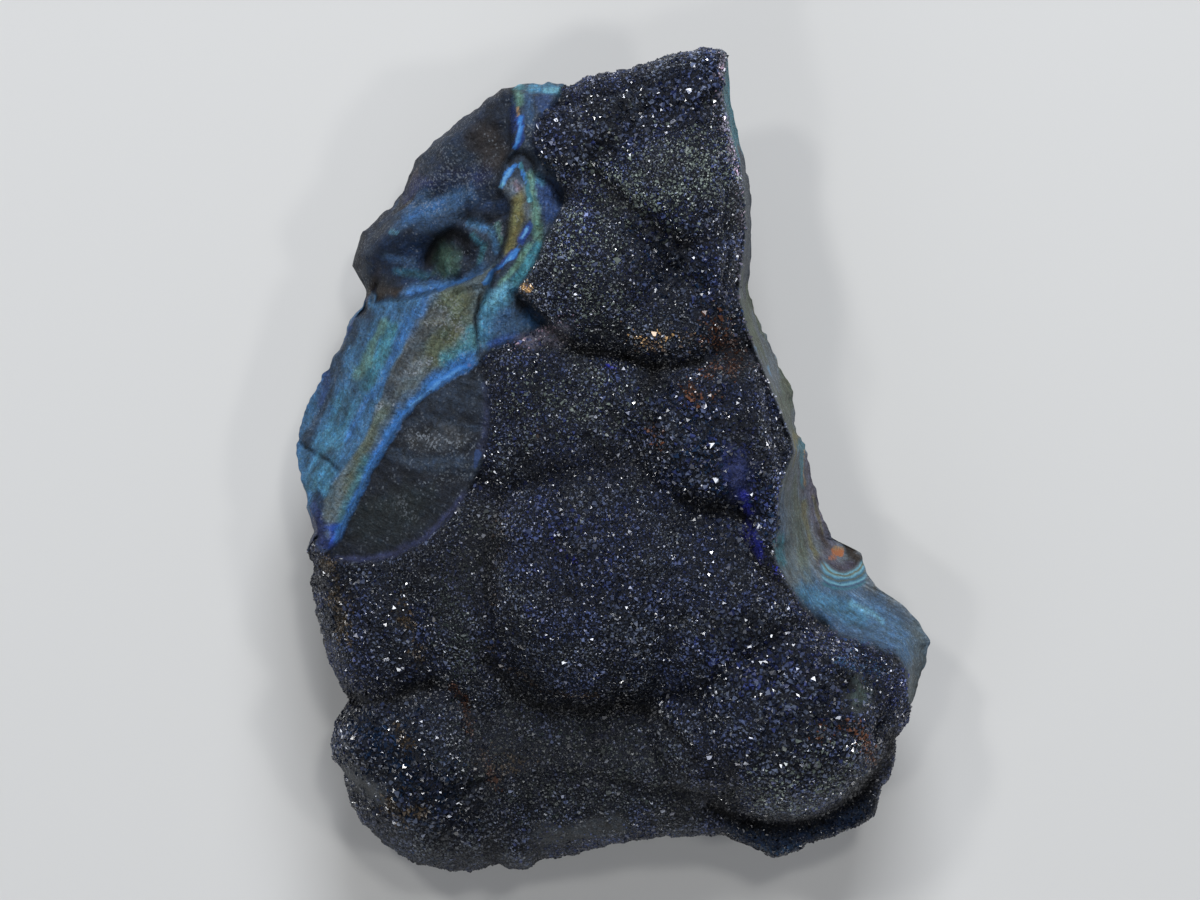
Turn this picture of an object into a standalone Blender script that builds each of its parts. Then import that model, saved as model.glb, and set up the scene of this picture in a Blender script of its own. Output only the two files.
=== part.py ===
"""Azurite specimen: a thick slab of botryoidal druse lying on its broken back, crust upwards.

One closed faceted stone. The crust is a field of low domes with ledges under the larger ones. The
rock is broken open along the right side, down the upper left and across the left flank, where a
domed layer is cut through as a flat disc. Distances below are in millimetres; outlines are drawn on
a sheet ruled in tenths of a millimetre, across and down, whose ruling (613, 463) is the origin.
"""
import bpy
import numpy as np

SHEET_ORIGIN = (613, 463)       # ruling of the sheet that lies under the origin
RULING = 0.1                    # mm between two rulings
METRE = 0.001                   # mm to metres
CRUST_CELLS = 58                # cells along one side of the crust's grid
BACK_ROWS = 5                   # rows of facets between the rim and the rest face
BORDER = 0.7                    # mm each side over which one face gives way to the next
GRAIN_JITTER = 0.22             # mm, rise and fall of single facets on the druse


def on_sheet(*points):
    """Rulings (across, down) to x to the right and y up, in mm."""
    return np.array([((a - SHEET_ORIGIN[0]) * RULING, (SHEET_ORIGIN[1] - b) * RULING) for a, b in points])


# the specimen's outline seen from above
OUTLINE = on_sheet(
    (724, 49), (729, 60), (731, 95), (740, 135), (750, 175), (753, 200), (753, 255), (749, 285),
    (762, 320), (780, 360), (795, 390), (800, 430), (809, 444), (814, 475), (822, 505), (833, 538),
    (855, 548), (864, 553), (868, 570), (881, 589), (905, 604), (920, 620), (933, 640), (929, 662),
    (918, 695), (912, 710), (911, 722), (898, 740), (898, 760), (894, 776), (883, 790), (877, 820),
    (850, 834), (822, 844), (790, 858), (775, 861), (748, 848), (722, 838), (690, 840), (650, 841),
    (610, 850), (575, 859), (541, 864), (527, 873), (510, 876), (497, 869), (468, 878), (440, 875),
    (410, 868), (383, 850), (360, 830), (345, 805), (339, 772), (330, 764), (328, 745), (332, 725),
    (347, 702), (337, 688), (323, 657), (313, 615), (308, 582), (310, 567), (303, 549), (311, 532),
    (303, 500), (295, 465), (293, 445), (300, 410), (318, 378), (341, 340), (343, 325), (358, 306),
    (363, 292), (361, 283), (350, 264), (349, 252), (360, 228), (385, 206), (401, 190), (406, 172),
    (418, 150), (440, 133), (465, 113), (482, 102), (501, 86), (527, 82), (560, 82), (573, 85),
    (588, 76), (622, 70), (645, 64), (672, 54), (700, 48))

# borders between the crust and the broken faces
DISC_CUT = [(478, 362), (450, 378), (424, 394), (398, 424), (376, 460), (356, 500), (338, 538), (328, 549)]
DISC_ARC = [(303, 549), (328, 556), (360, 562), (395, 556), (428, 538), (452, 514), (475, 482),
            (488, 448), (492, 410), (487, 380)]
SEAM_LEFT = [(515, 60), (513, 110), (512, 150), (503, 165), (499, 190), (512, 205), (508, 238), (498, 262)]
SEAM_CRACK = [(484, 290), (476, 320), (479, 345), (478, 362)]
SEAM_CRUST = [(492, 348), (520, 338), (548, 322), (532, 306), (516, 294), (538, 262), (546, 240),
              (556, 222), (566, 200), (556, 176), (540, 158), (532, 140), (540, 118), (556, 104),
              (572, 90), (574, 60)]
LIP = [(498, 262), (470, 280), (440, 290), (405, 298), (375, 298), (340, 306)]
RIGHT_EDGE = [(728, 44), (724, 75), (722, 95), (730, 135), (739, 165), (744, 205), (744, 240), (739, 275),
              (738, 295), (746, 330), (760, 365), (772, 395), (789, 435), (792, 450), (780, 480),
              (776, 505), (778, 520), (773, 553), (784, 578), (808, 610), (838, 632), (870, 644),
              (895, 652), (906, 668), (908, 700), (914, 716)]
DISC = on_sheet(*(DISC_CUT + DISC_ARC[1:]))
SEAM = on_sheet(*(SEAM_LEFT + [(490, 275)] + SEAM_CRACK + SEAM_CRUST))
UPPER_LEFT = on_sheet(*(SEAM_LEFT + LIP[1:] + [(250, 320), (250, 60)]))
FLANK = on_sheet(*(LIP + [(250, 320), (250, 549), (303, 549)] + DISC_CUT[::-1] + SEAM_CRACK[-2:0:-1]))
RIGHT_FACE = on_sheet(*(RIGHT_EDGE + [(980, 760), (980, 0)]))

# each dome of the crust: centre x, y, half widths, turn (degrees), top, fall at the half width, power
DOMES = {
    "summit ridge": (3.4, 38.4, 10, 3.4, 14, 31.0, 2.5, 2),
    "summit slope": (4.0, 33.2, 10, 5.5, 12, 32.2, 2.5, 2),
    "seam shoulder": (-3.6, 30.4, 6.6, 6.6, 0, 31.6, 2.8, 2),
    "upper mound": (6.4, 26.6, 8.2, 7.2, 15, 34.8, 3.8, 2.5),
    "ledge mound": (-1.4, 18.8, 8.2, 7.8, 0, 34.4, 4.6, 3),
    "upper rim": (10.5, 19.0, 5.5, 9.0, 0, 33.6, 4, 2),
    "ledge foot": (6.0, 14.8, 8.0, 5.4, -10, 33.8, 4.5, 3),
    "ledge nose": (-6.6, 16.6, 3.6, 3.6, 0, 32.0, 4, 3),
    "shelf mound": (-4.2, 4.6, 9.8, 8.2, 0, 31.8, 3.2, 2.2),
    "shelf corner": (-9.4, 6.6, 4.6, 5.4, 0, 31.0, 3, 2),
    "shelf nub": (4.0, 6.2, 7.0, 4.8, 10, 32.0, 3, 2),
    "shoulder mound": (10.0, 3.6, 7.8, 8.6, 20, 34.2, 4.0, 3),
    "shoulder rim": (14.8, 1.5, 4.5, 9.0, 8, 33.6, 4, 2),
    "rim foot": (14.2, -8.0, 4.4, 7.0, 25, 32.0, 4, 2),
    "great mound": (-1.2, -10.8, 12.6, 12.4, 0, 34.6, 7.5, 3.4),
    "saddle mound": (10.4, -13.4, 9.2, 9.8, 20, 34.0, 5, 2.5),
    "corner mound": (17.6, -25.2, 11.4, 10.8, 12, 34.6, 12, 4),
    "corner cheek": (9.4, -27.4, 6.4, 6.4, 0, 31.0, 6, 3),
    "corner rim": (26.2, -22.6, 4.2, 6.8, 0, 29.5, 5, 2),
    "left slope": (-13.6, -11.0, 10.4, 14.0, 10, 28.8, 5, 2.4),
    "left mound": (-21.8, -16.6, 9.6, 9.2, 0, 26.6, 6, 2.4),
    "foot mound": (-20.0, -30.0, 9.4, 8.8, 0, 27.6, 5, 2.6),
    "foot edge": (-17.6, -36.6, 10.6, 7.0, -10, 24.0, 4, 2),
    "foot cheek": (-12.0, -31.6, 5.4, 6.4, 0, 26.6, 4, 2.4),
    "hollow mound": (2.6, -30.4, 7.2, 6.6, 0, 27.4, 3, 2),
    "hollow swell": (-5.2, -29.2, 9.0, 9.0, 0, 25.8, 2.5, 2),
    "hem": (-9.4, -38.4, 5.4, 4.6, 0, 21.0, 4, 2),
}
DOME_BLEND = 0.7                # mm over which two domes run together

# floor under the domes along y, and how far it drops beyond the corner mound
FLOOR_Y = (-42, -34, -24, -14, 0, 14, 30, 41)
FLOOR_Z = (21.0, 23.6, 24.0, 25.0, 26.0, 27.0, 27.5, 26.0)
SHELF_DROP = 5.0

# rim all round: direction from the origin (degrees), height, rise of the rounded edge, its width
RIM = np.array([
    (-55, 14, 12, 2.5), (-44, 16, 12, 2.5), (-29, 17, 14, 3), (-25, 15, 15, 3), (-19, 12, 18, 3),
    (0, 12, 18, 3), (45, 13, 18, 3), (70, 19, 14, 2.5), (76, 22, 10, 2), (90, 24, 7, 2), (98, 23, 5, 2),
    (106, 20, 9, 3), (122, 13, 16, 9), (141, 9, 18, 10), (147, 12, 16, 8), (170, 13, 14, 7), (180, 13, 14, 7),
    (195, 12, 17, 9), (206, 11, 19, 10), (217, 11, 19, 10), (230, 10, 19, 10), (247, 9, 18, 9),
    (260, 10, 17, 8), (272, 12, 15, 6), (286, 13, 12, 4), (294, 13, 12, 3), (305, 14, 12, 2.5)])

# floor of the seam along y, and the crust's broken edge along the right face
SEAM_Y, SEAM_Z = (8, 16, 22, 26, 30, 33, 39), (26.0, 27.0, 27.6, 28.0, 28.2, 28.8, 27.6)
EDGE_Y, EDGE_Z = (-27, -18, -10, 0, 10, 25, 41), (24.5, 26.0, 28.5, 31.0, 31.0, 30.0, 25.5)


def noise(x, y, z, size, seed):
    """Smooth field from -1 to 1: seeded values on a cubic lattice of step `size`, blended between
    lattice points with the cubic 3t^2 - 2t^3."""
    table = np.random.default_rng(seed).uniform(-1, 1, (32, 32, 32))
    place = [np.asarray(c) / size for c in np.broadcast_arrays(x, y, z)]
    cell = [np.floor(c).astype(int) for c in place]
    part = [c - k for c, k in zip(place, cell)]
    part = [t * t * (3 - 2 * t) for t in part]
    total = 0
    for corner in np.ndindex(2, 2, 2):
        weight = 1
        for t, side in zip(part, corner):
            weight = weight * (t if side else 1 - t)
        total = total + weight * table[tuple((k + side) % 32 for k, side in zip(cell, corner))]
    return total


def smooth_max(a, b, blend):
    """The larger of a and b, rounded where they cross over a band `blend` high."""
    t = np.clip(0.5 + 0.5 * (a - b) / blend, 0, 1)
    return b + (a - b) * t + blend * t * (1 - t)


def smooth_min(a, b, blend):
    """The smaller of a and b, rounded where they cross."""
    return -smooth_max(-a, -b, blend)


def ramp(v, low, high):
    """0 below low, 1 above high, the cubic 3t^2 - 2t^3 between."""
    t = np.clip((v - low) / (high - low), 0, 1)
    return t * t * (3 - 2 * t)


def bump(x, y, cx, cy, rx, ry, power=2):
    """exp(-q^power), q the distance from (cx, cy) in units of the radii."""
    return np.exp(-np.hypot((x - cx) / rx, (y - cy) / ry) ** power)


def depth_inside(x, y, outline):
    """Distance to the nearest side of a closed outline, positive inside and negative outside."""
    nearest, inside = np.full(np.shape(x), 1e9), np.zeros(np.shape(x), bool)
    for (ax, ay), (bx, by) in zip(outline, np.roll(outline, -1, axis=0)):
        dx, dy = bx - ax, by - ay
        t = np.clip(((x - ax) * dx + (y - ay) * dy) / (dx * dx + dy * dy), 0, 1)
        nearest = np.minimum(nearest, np.hypot(x - ax - t * dx, y - ay - t * dy))
        crosses = (ay > y) != (by > y)
        inside ^= crosses & (x < ax + (y - ay) * dx / (dy if dy else 1e-9))
    return np.where(inside, nearest, -nearest)


def crust(x, y):
    """Height of the druse: a floor along y, and on it domes of height top - fall * q^power, q the
    elliptical distance from the dome's centre; then swellings of three sizes."""
    height = np.interp(y, FLOOR_Y, FLOOR_Z) - SHELF_DROP * ramp(x, 7, 13) * ramp(-y, 20, 26)
    for cx, cy, rx, ry, turn, top, fall, power in DOMES.values():
        c, s = np.cos(np.radians(turn)), np.sin(np.radians(turn))
        q = np.hypot(((x - cx) * c + (y - cy) * s) / rx, ((y - cy) * c - (x - cx) * s) / ry)
        height = smooth_max(height, top - fall * q ** power, DOME_BLEND)
    return height + 0.55 * noise(x, y, 0, 5.0, 1) + 0.3 * noise(x, y, 0, 2.2, 2)


def height_field(x, y):
    """Height of the upper surface, and how far each point belongs to the druse (0 to 1)."""
    edge = np.clip(depth_inside(x, y, OUTLINE), 0, None)
    turn = np.degrees(np.arctan2(y, x))
    turn = np.where(turn < RIM[0, 0], turn + 360, turn)
    around = np.vstack([RIM, RIM[0] + (360, 0, 0, 0)])
    rim, rise, width = (np.interp(turn, around[:, 0], around[:, k]) for k in (1, 2, 3))

    # rounded edge: a quarter ellipse up from the rim, then a steep slope that leaves the rest free
    inward = np.clip(edge + ramp(edge, 0, 3) * (0.9 * noise(x, y, 0, 5.0, 5) + 0.4 * noise(x, y, 0, 2.0, 6)),
                     0, None)
    q = np.clip(inward / width, 0, 1)
    limit = rim + rise * np.sqrt(q * (2 - q)) + 5 * np.clip(inward - width, 0, None)
    height = smooth_min(crust(x, y), limit, 4.0)
    druse = np.ones(np.shape(x))

    def lay(height, druse, face, outline, border):
        """Replaces the height inside an outline by that of a broken face, over a narrow border."""
        inside = depth_inside(x, y, outline)
        share = ramp(inside, -border, border)
        return height + (face - height) * share, druse * (1 - share)

    # seam: a trough between the crust and the upper left, stepped along its floor
    height, druse = lay(height, druse, np.minimum(np.interp(y, SEAM_Y, SEAM_Z), limit), SEAM, BORDER)

    # upper left: a lumpy slope with a long hollow, a ring-shaped pit round a knob, and a wart
    slope = smooth_min(26.8 + 0.34 * (x + 10.8), limit + 1.0, 3.0)
    slope = slope + 0.9 * noise(x, y, 0, 5.5, 11) + 0.45 * noise(x, y, 0, 2.4, 12)
    slope = slope - 2.0 * bump(x, y, -21, 20.3, 4.6, 2.6, 3) - 2.2 * bump(x, y, -16.4, 20.0, 2.9, 2.9, 4)
    slope = slope + 2.4 * bump(x, y, -16.2, 19.8, 1.5, 1.5) + 1.0 * bump(x, y, -25, 18.6, 1.3, 1.3)
    height, druse = lay(height, druse, slope, UPPER_LEFT, BORDER)

    # left flank: two broken planes that meet in a ridge running down to the left
    along = ((x + 15) * -13 + (y - 15) * -22) / 25.55
    beyond = (x + 18.3) * -0.885 + (y - 16.3) * 0.465
    beyond = beyond - np.interp(along, (-5, 4, 10, 16, 22), (0.2, 0.3, 0, -0.7, 0.3))
    inner = 27.6 - 0.30 * along
    flank = np.minimum(np.minimum(inner, inner - 1.1 * beyond), limit + 2) + 0.25 * noise(x, y, 0, 3.5, 21)
    height, druse = lay(height, druse, flank, FLANK, BORDER)

    # disc: a domed layer cut by one plane that falls to the left
    height, druse = lay(height, druse, 28.0 + 0.46 * (x + 13), DISC, BORDER)

    # right face: a scoop, steep under the crust's edge and flatter towards the rim, with a pit
    inside = np.clip(depth_inside(x, y, RIGHT_FACE), 0, None)
    t = inside / (inside + edge + 1e-6)
    scoop = rim + (np.interp(y, EDGE_Y, EDGE_Z) - rim) * (1 - t) ** 1.5
    scoop = scoop + 0.35 * noise(x, y, 0, 3.0, 31) * ramp(t, 0, 0.2)
    scoop = scoop - 1.2 * bump(x, y, 23.1, -9.2, 1.3, 1.3)
    return lay(height, druse, scoop, RIGHT_FACE, BORDER)


def outline_radius(turn):
    """Distance from the origin to the outline in the direction `turn` (radians)."""
    angle = np.arctan2(OUTLINE[:, 1], OUTLINE[:, 0])
    order = np.argsort(angle)
    angle, points = angle[order], OUTLINE[order]
    after = np.searchsorted(angle, np.arctan2(np.sin(turn), np.cos(turn))) % len(angle)
    a, b = points[after - 1], points[after]
    side = b - a
    facing = np.cos(turn) * side[..., 1] - np.sin(turn) * side[..., 0]
    return (a[..., 0] * b[..., 1] - a[..., 1] * b[..., 0]) / facing


def plan_grid(cells):
    """A square grid stretched over the outline. The square (u, v) goes to the disc
    (u sqrt(1 - v^2/2), v sqrt(1 - u^2/2)); the disc's radius is eased so that cells narrow towards the
    rim, and scaled by the outline's radius, which is smoothed away from the rim."""
    u, v = np.meshgrid(np.linspace(-1, 1, cells + 1), np.linspace(-1, 1, cells + 1), indexing="ij")
    across, up = u * np.sqrt(1 - v * v / 2), v * np.sqrt(1 - u * u / 2)
    radius, turn = np.clip(np.hypot(across, up), 0, 1), np.arctan2(up, across)
    sharp = outline_radius(turn)
    smooth = np.mean([outline_radius(turn + step) for step in np.radians((-12, -8, -4, 0, 4, 8, 12))], axis=0)
    reach = (1 - (1 - radius) ** 1.25) * (smooth + (sharp - smooth) * radius ** 6)
    return reach * np.cos(turn), reach * np.sin(turn)


def rim_loop(cells):
    """Grid indices once round the grid's border, anticlockwise."""
    k = np.arange(cells)
    sides = (k, 0 * k), (0 * k + cells, k), (cells - k, 0 * k + cells), (0 * k, cells - k)
    return np.concatenate([i * (cells + 1) + j for i, j in sides])


def stone():
    """The closed stone: the crust's grid, rows of facets from the rim down and inwards to the flat
    rest face, and the rest face itself."""
    x, y = plan_grid(CRUST_CELLS)
    z, druse = height_field(x, y)
    jitter = np.random.default_rng(8).uniform(-1, 1, z.shape)
    jitter[[0, -1], :] = 0
    jitter[:, [0, -1]] = 0
    z = z + GRAIN_JITTER * jitter * druse
    grid = np.stack([x, y, z], -1).reshape(-1, 3)
    side = CRUST_CELLS + 1
    index = np.arange(side * side).reshape(side, side)
    quads = np.stack([index[:-1, :-1], index[1:, :-1], index[1:, 1:], index[:-1, 1:]], -1).reshape(-1, 4)
    faces = [half for a, b, c, d in quads.tolist() for half in ((a, b, c), (a, c, d))]

    loop = rim_loop(CRUST_CELLS)
    rim = grid[loop]
    turn = np.arctan2(rim[:, 1], rim[:, 0])
    radius = np.hypot(rim[:, 0], rim[:, 1])
    foot = 3.2 + 0.2 * rim[:, 2] + 1.6 * noise(7 * np.cos(turn), 7 * np.sin(turn), 0, 2.6, 41)
    rows = [loop]
    points = [grid]
    for row in range(1, BACK_ROWS + 1):
        down = row / BACK_ROWS
        chip = 1.1 * noise(rim[:, 0], rim[:, 1], 9 * down, 4.0, 42) * np.sin(np.pi * down)
        inset = foot * down ** 1.8 + np.clip(0.5 + chip, 0, None) * np.sin(np.pi * down)
        scale = (radius - inset) / radius
        height = rim[:, 2] * (1 - down)
        points.append(np.stack([rim[:, 0] * scale, rim[:, 1] * scale, height], -1))
        rows.append(np.arange(len(loop)) + len(grid) + (row - 1) * len(loop))
    for upper, lower in zip(rows[:-1], rows[1:]):
        next_upper, next_lower = np.roll(upper, -1), np.roll(lower, -1)
        faces += np.stack([upper, lower, next_lower], -1).tolist()
        faces += np.stack([upper, next_lower, next_upper], -1).tolist()
    faces.append(rows[-1][::-1].tolist())

    points = np.concatenate(points)
    points[:, :2] -= (points[:, :2].min(axis=0) + points[:, :2].max(axis=0)) / 2
    return points * METRE, faces


def material(name, colour, roughness):
    """A plain Principled material."""
    made = bpy.data.materials.new(name)
    made.use_nodes = True
    shader = made.node_tree.nodes["Principled BSDF"]
    shader.inputs["Base Color"].default_value = (*colour, 1)
    shader.inputs["Roughness"].default_value = roughness
    made.diffuse_color = (*colour, 1)
    return made


for old in list(bpy.data.objects):
    bpy.data.objects.remove(old, do_unlink=True)

stone_points, stone_faces = stone()
mesh = bpy.data.meshes.new("azurite_rock")
mesh.from_pydata(stone_points.tolist(), [], stone_faces)
mesh.validate()
mesh.materials.append(material("azurite_druse", (0.022, 0.032, 0.075), 0.5))
rock = bpy.data.objects.new("azurite_rock", mesh)
bpy.context.scene.collection.objects.link(rock)
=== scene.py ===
"""Azurite specimen: the finish of the stone, its druse crystals, the light and the camera.

The stone is one fine surface of the same form as the solid, a little lower where druse covers it,
and the druse is some 156,000 small flat-faced crystals standing on it. Distances are in
millimetres until a mesh is made; outlines and markings are drawn on the solid's own sheet, ruled in
tenths of a millimetre across and down.
"""

import bpy
import mathutils
import numpy as np
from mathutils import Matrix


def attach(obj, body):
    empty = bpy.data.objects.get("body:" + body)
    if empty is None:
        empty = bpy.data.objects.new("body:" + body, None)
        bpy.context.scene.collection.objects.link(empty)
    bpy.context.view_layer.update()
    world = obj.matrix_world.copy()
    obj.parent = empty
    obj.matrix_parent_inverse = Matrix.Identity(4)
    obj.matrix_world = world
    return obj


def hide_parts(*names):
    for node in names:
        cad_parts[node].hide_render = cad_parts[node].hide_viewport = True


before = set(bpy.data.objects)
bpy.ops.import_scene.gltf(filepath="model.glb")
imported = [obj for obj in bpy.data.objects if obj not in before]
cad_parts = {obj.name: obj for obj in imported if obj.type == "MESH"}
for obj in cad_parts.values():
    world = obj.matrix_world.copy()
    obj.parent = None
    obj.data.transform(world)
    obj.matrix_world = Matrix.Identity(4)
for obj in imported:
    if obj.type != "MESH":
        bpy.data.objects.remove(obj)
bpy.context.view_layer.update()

METRE = 0.001                   # mm to metres
SHEET_ORIGIN = (613, 463)       # ruling of the sheet that lies under the origin
RULING = 0.1                    # mm between two rulings

CRUST_CELLS = 262               # cells along one side of the stone's upper grid
BACK_ROWS = 26                  # rows of cells between the rim and the rest face
RIM_REACH = 20                  # cells each way over which the rim is evened out
BORDER = 0.3                    # mm each side over which one face gives way to the next
CRYSTAL_BED = 0.32              # mm that the stone's surface lies below the tips of the druse
RISE_CELLS = 9                  # cells each way over which the surroundings' height is taken
# the two kinds of druse crystal: how many, in how many pieces (each under 200,000 triangles), size in mm
# (the longest side of a base is about 1.2 times it), how much larger where the druse is coarse, and their
# share there and elsewhere
KINDS = {"block": (36000, 2, 0.25, 0.20, 1.6, 0.6), "splinter": (120000, 3, 0.165, 0.06, 0.5, 1.1)}

# corners of one crystal's faces, one face after another, and how many corners each has
BODY_FACES = {
    "block": ((2, 1, 0, 3, 4, 5, 0, 1, 4, 3, 1, 2, 5, 4, 2, 0, 3, 5), (3, 3, 4, 4, 4)),
    "splinter": ((2, 1, 0, 0, 1, 3, 1, 2, 3, 2, 0, 3), (3, 3, 3, 3)),
}
BASE_TURNS = (0, 120, 240)      # degrees round a crystal at which its base has corners
CRYSTAL_SEED = 17


# ------------------------------------------------------------------ the form, as in the solid

def on_sheet(*points):
    """Rulings (across, down) to x to the right and y up, in mm."""
    return np.array([((a - SHEET_ORIGIN[0]) * RULING, (SHEET_ORIGIN[1] - b) * RULING) for a, b in points])


# the specimen's outline seen from above
OUTLINE = on_sheet(
    (724, 49), (729, 60), (731, 95), (740, 135), (750, 175), (753, 200), (753, 255), (749, 285),
    (762, 320), (780, 360), (795, 390), (800, 430), (809, 444), (814, 475), (822, 505), (833, 538),
    (855, 548), (864, 553), (868, 570), (881, 589), (905, 604), (920, 620), (933, 640), (929, 662),
    (918, 695), (912, 710), (911, 722), (898, 740), (898, 760), (894, 776), (883, 790), (877, 820),
    (850, 834), (822, 844), (790, 858), (775, 861), (748, 848), (722, 838), (690, 840), (650, 841),
    (610, 850), (575, 859), (541, 864), (527, 873), (510, 876), (497, 869), (468, 878), (440, 875),
    (410, 868), (383, 850), (360, 830), (345, 805), (339, 772), (330, 764), (328, 745), (332, 725),
    (347, 702), (337, 688), (323, 657), (313, 615), (308, 582), (310, 567), (303, 549), (311, 532),
    (303, 500), (295, 465), (293, 445), (300, 410), (318, 378), (341, 340), (343, 325), (358, 306),
    (363, 292), (361, 283), (350, 264), (349, 252), (360, 228), (385, 206), (401, 190), (406, 172),
    (418, 150), (440, 133), (465, 113), (482, 102), (501, 86), (527, 82), (560, 82), (573, 85),
    (588, 76), (622, 70), (645, 64), (672, 54), (700, 48))

# borders between the crust and the broken faces
DISC_CUT = [(478, 362), (450, 378), (424, 394), (398, 424), (376, 460), (356, 500), (338, 538), (328, 549)]
DISC_ARC = [(303, 549), (328, 556), (360, 562), (395, 556), (428, 538), (452, 514), (475, 482),
            (488, 448), (492, 410), (487, 380)]
SEAM_LEFT = [(515, 60), (513, 110), (512, 150), (503, 165), (499, 190), (512, 205), (508, 238), (498, 262)]
SEAM_CRACK = [(484, 290), (476, 320), (479, 345), (478, 362)]
SEAM_CRUST = [(492, 348), (520, 338), (548, 322), (532, 306), (516, 294), (538, 262), (546, 240),
              (556, 222), (566, 200), (556, 176), (540, 158), (532, 140), (540, 118), (556, 104),
              (572, 90), (574, 60)]
LIP = [(498, 262), (470, 280), (440, 290), (405, 298), (375, 298), (340, 306)]
RIGHT_EDGE = [(728, 44), (724, 75), (722, 95), (730, 135), (739, 165), (744, 205), (744, 240), (739, 275),
              (738, 295), (746, 330), (760, 365), (772, 395), (789, 435), (792, 450), (780, 480),
              (776, 505), (778, 520), (773, 553), (784, 578), (808, 610), (838, 632), (870, 644),
              (895, 652), (906, 668), (908, 700), (914, 716)]
DISC = on_sheet(*(DISC_CUT + DISC_ARC[1:]))
SEAM = on_sheet(*(SEAM_LEFT + [(490, 275)] + SEAM_CRACK + SEAM_CRUST))
UPPER_LEFT = on_sheet(*(SEAM_LEFT + LIP[1:] + [(250, 320), (250, 60)]))
FLANK = on_sheet(*(LIP + [(250, 320), (250, 549), (303, 549)] + DISC_CUT[::-1] + SEAM_CRACK[-2:0:-1]))
RIGHT_FACE = on_sheet(*(RIGHT_EDGE + [(980, 760), (980, 0)]))

# each dome of the crust: centre x, y, half widths, turn (degrees), top, fall at the half width, power
DOMES = {
    "summit ridge": (3.4, 38.4, 10, 3.4, 14, 31.0, 2.5, 2),
    "summit slope": (4.0, 33.2, 10, 5.5, 12, 32.2, 2.5, 2),
    "seam shoulder": (-3.6, 30.4, 6.6, 6.6, 0, 31.6, 2.8, 2),
    "upper mound": (6.4, 26.6, 8.2, 7.2, 15, 34.8, 3.8, 2.5),
    "ledge mound": (-1.4, 18.8, 8.2, 7.8, 0, 34.4, 4.6, 3),
    "upper rim": (10.5, 19.0, 5.5, 9.0, 0, 33.6, 4, 2),
    "ledge foot": (6.0, 14.8, 8.0, 5.4, -10, 33.8, 4.5, 3),
    "ledge nose": (-6.6, 16.6, 3.6, 3.6, 0, 32.0, 4, 3),
    "shelf mound": (-4.2, 4.6, 9.8, 8.2, 0, 31.8, 3.2, 2.2),
    "shelf corner": (-9.4, 6.6, 4.6, 5.4, 0, 31.0, 3, 2),
    "shelf nub": (4.0, 6.2, 7.0, 4.8, 10, 32.0, 3, 2),
    "shoulder mound": (10.0, 3.6, 7.8, 8.6, 20, 34.2, 4.0, 3),
    "shoulder rim": (14.8, 1.5, 4.5, 9.0, 8, 33.6, 4, 2),
    "rim foot": (14.2, -8.0, 4.4, 7.0, 25, 32.0, 4, 2),
    "great mound": (-1.2, -10.8, 12.6, 12.4, 0, 34.6, 7.5, 3.4),
    "saddle mound": (10.4, -13.4, 9.2, 9.8, 20, 34.0, 5, 2.5),
    "corner mound": (17.2, -24.8, 11.0, 10.5, 12, 34.6, 12, 4),
    "corner cheek": (9.4, -27.4, 6.4, 6.4, 0, 31.0, 6, 3),
    "corner rim": (26.2, -22.6, 4.2, 6.8, 0, 29.5, 5, 2),
    "left slope": (-13.6, -11.0, 10.4, 14.0, 10, 28.8, 5, 2.4),
    "left mound": (-21.8, -16.6, 9.6, 9.2, 0, 26.6, 6, 2.4),
    "foot mound": (-20.0, -30.0, 9.4, 8.8, 0, 27.6, 5, 2.6),
    "foot edge": (-17.6, -36.6, 10.6, 7.0, -10, 24.0, 4, 2),
    "foot cheek": (-12.0, -31.6, 5.4, 6.4, 0, 26.6, 4, 2.4),
    "hollow mound": (2.6, -30.4, 7.2, 6.6, 0, 27.4, 3, 2),
    "hollow swell": (-5.2, -29.2, 9.0, 9.0, 0, 25.8, 2.5, 2),
    "hem": (-9.4, -38.4, 5.4, 4.6, 0, 21.0, 4, 2),
}
DOME_BLEND = 0.7                # mm over which two domes run together

# floor under the domes along y, and how far it drops beyond the corner mound
FLOOR_Y = (-42, -34, -24, -14, 0, 14, 30, 41)
FLOOR_Z = (21.0, 23.6, 24.0, 25.0, 26.0, 27.0, 27.5, 26.0)
SHELF_DROP = 5.0

# rim all round: direction from the origin (degrees), height, rise of the rounded edge, its width
RIM = np.array([
    (-55, 14, 12, 2.5), (-44, 16, 12, 2.5), (-29, 17, 14, 3), (-25, 15, 15, 3), (-19, 12, 18, 3),
    (0, 12, 18, 3), (45, 13, 18, 3), (70, 19, 14, 2.5), (76, 22, 10, 2), (90, 24, 7, 2), (98, 23, 5, 2),
    (106, 20, 9, 3), (122, 13, 16, 9), (141, 9, 18, 10), (147, 12, 16, 8), (170, 13, 14, 7),
    (180, 13, 14, 7),
    (195, 12, 17, 9), (206, 11, 19, 10), (217, 11, 19, 10), (230, 10, 19, 10), (247, 9, 18, 9),
    (260, 10, 17, 8), (272, 12, 15, 6), (286, 13, 12, 4), (294, 13, 12, 3), (305, 14, 12, 2.5)])

# floor of the seam along y, and the crust's broken edge along the right face
SEAM_Y, SEAM_Z = (8, 16, 22, 26, 30, 33, 39), (26.0, 27.0, 27.6, 28.0, 28.2, 28.8, 27.6)
EDGE_Y, EDGE_Z = (-27, -18, -10, 0, 10, 25, 41), (24.5, 26.0, 28.5, 31.0, 31.0, 30.0, 25.5)


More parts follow.
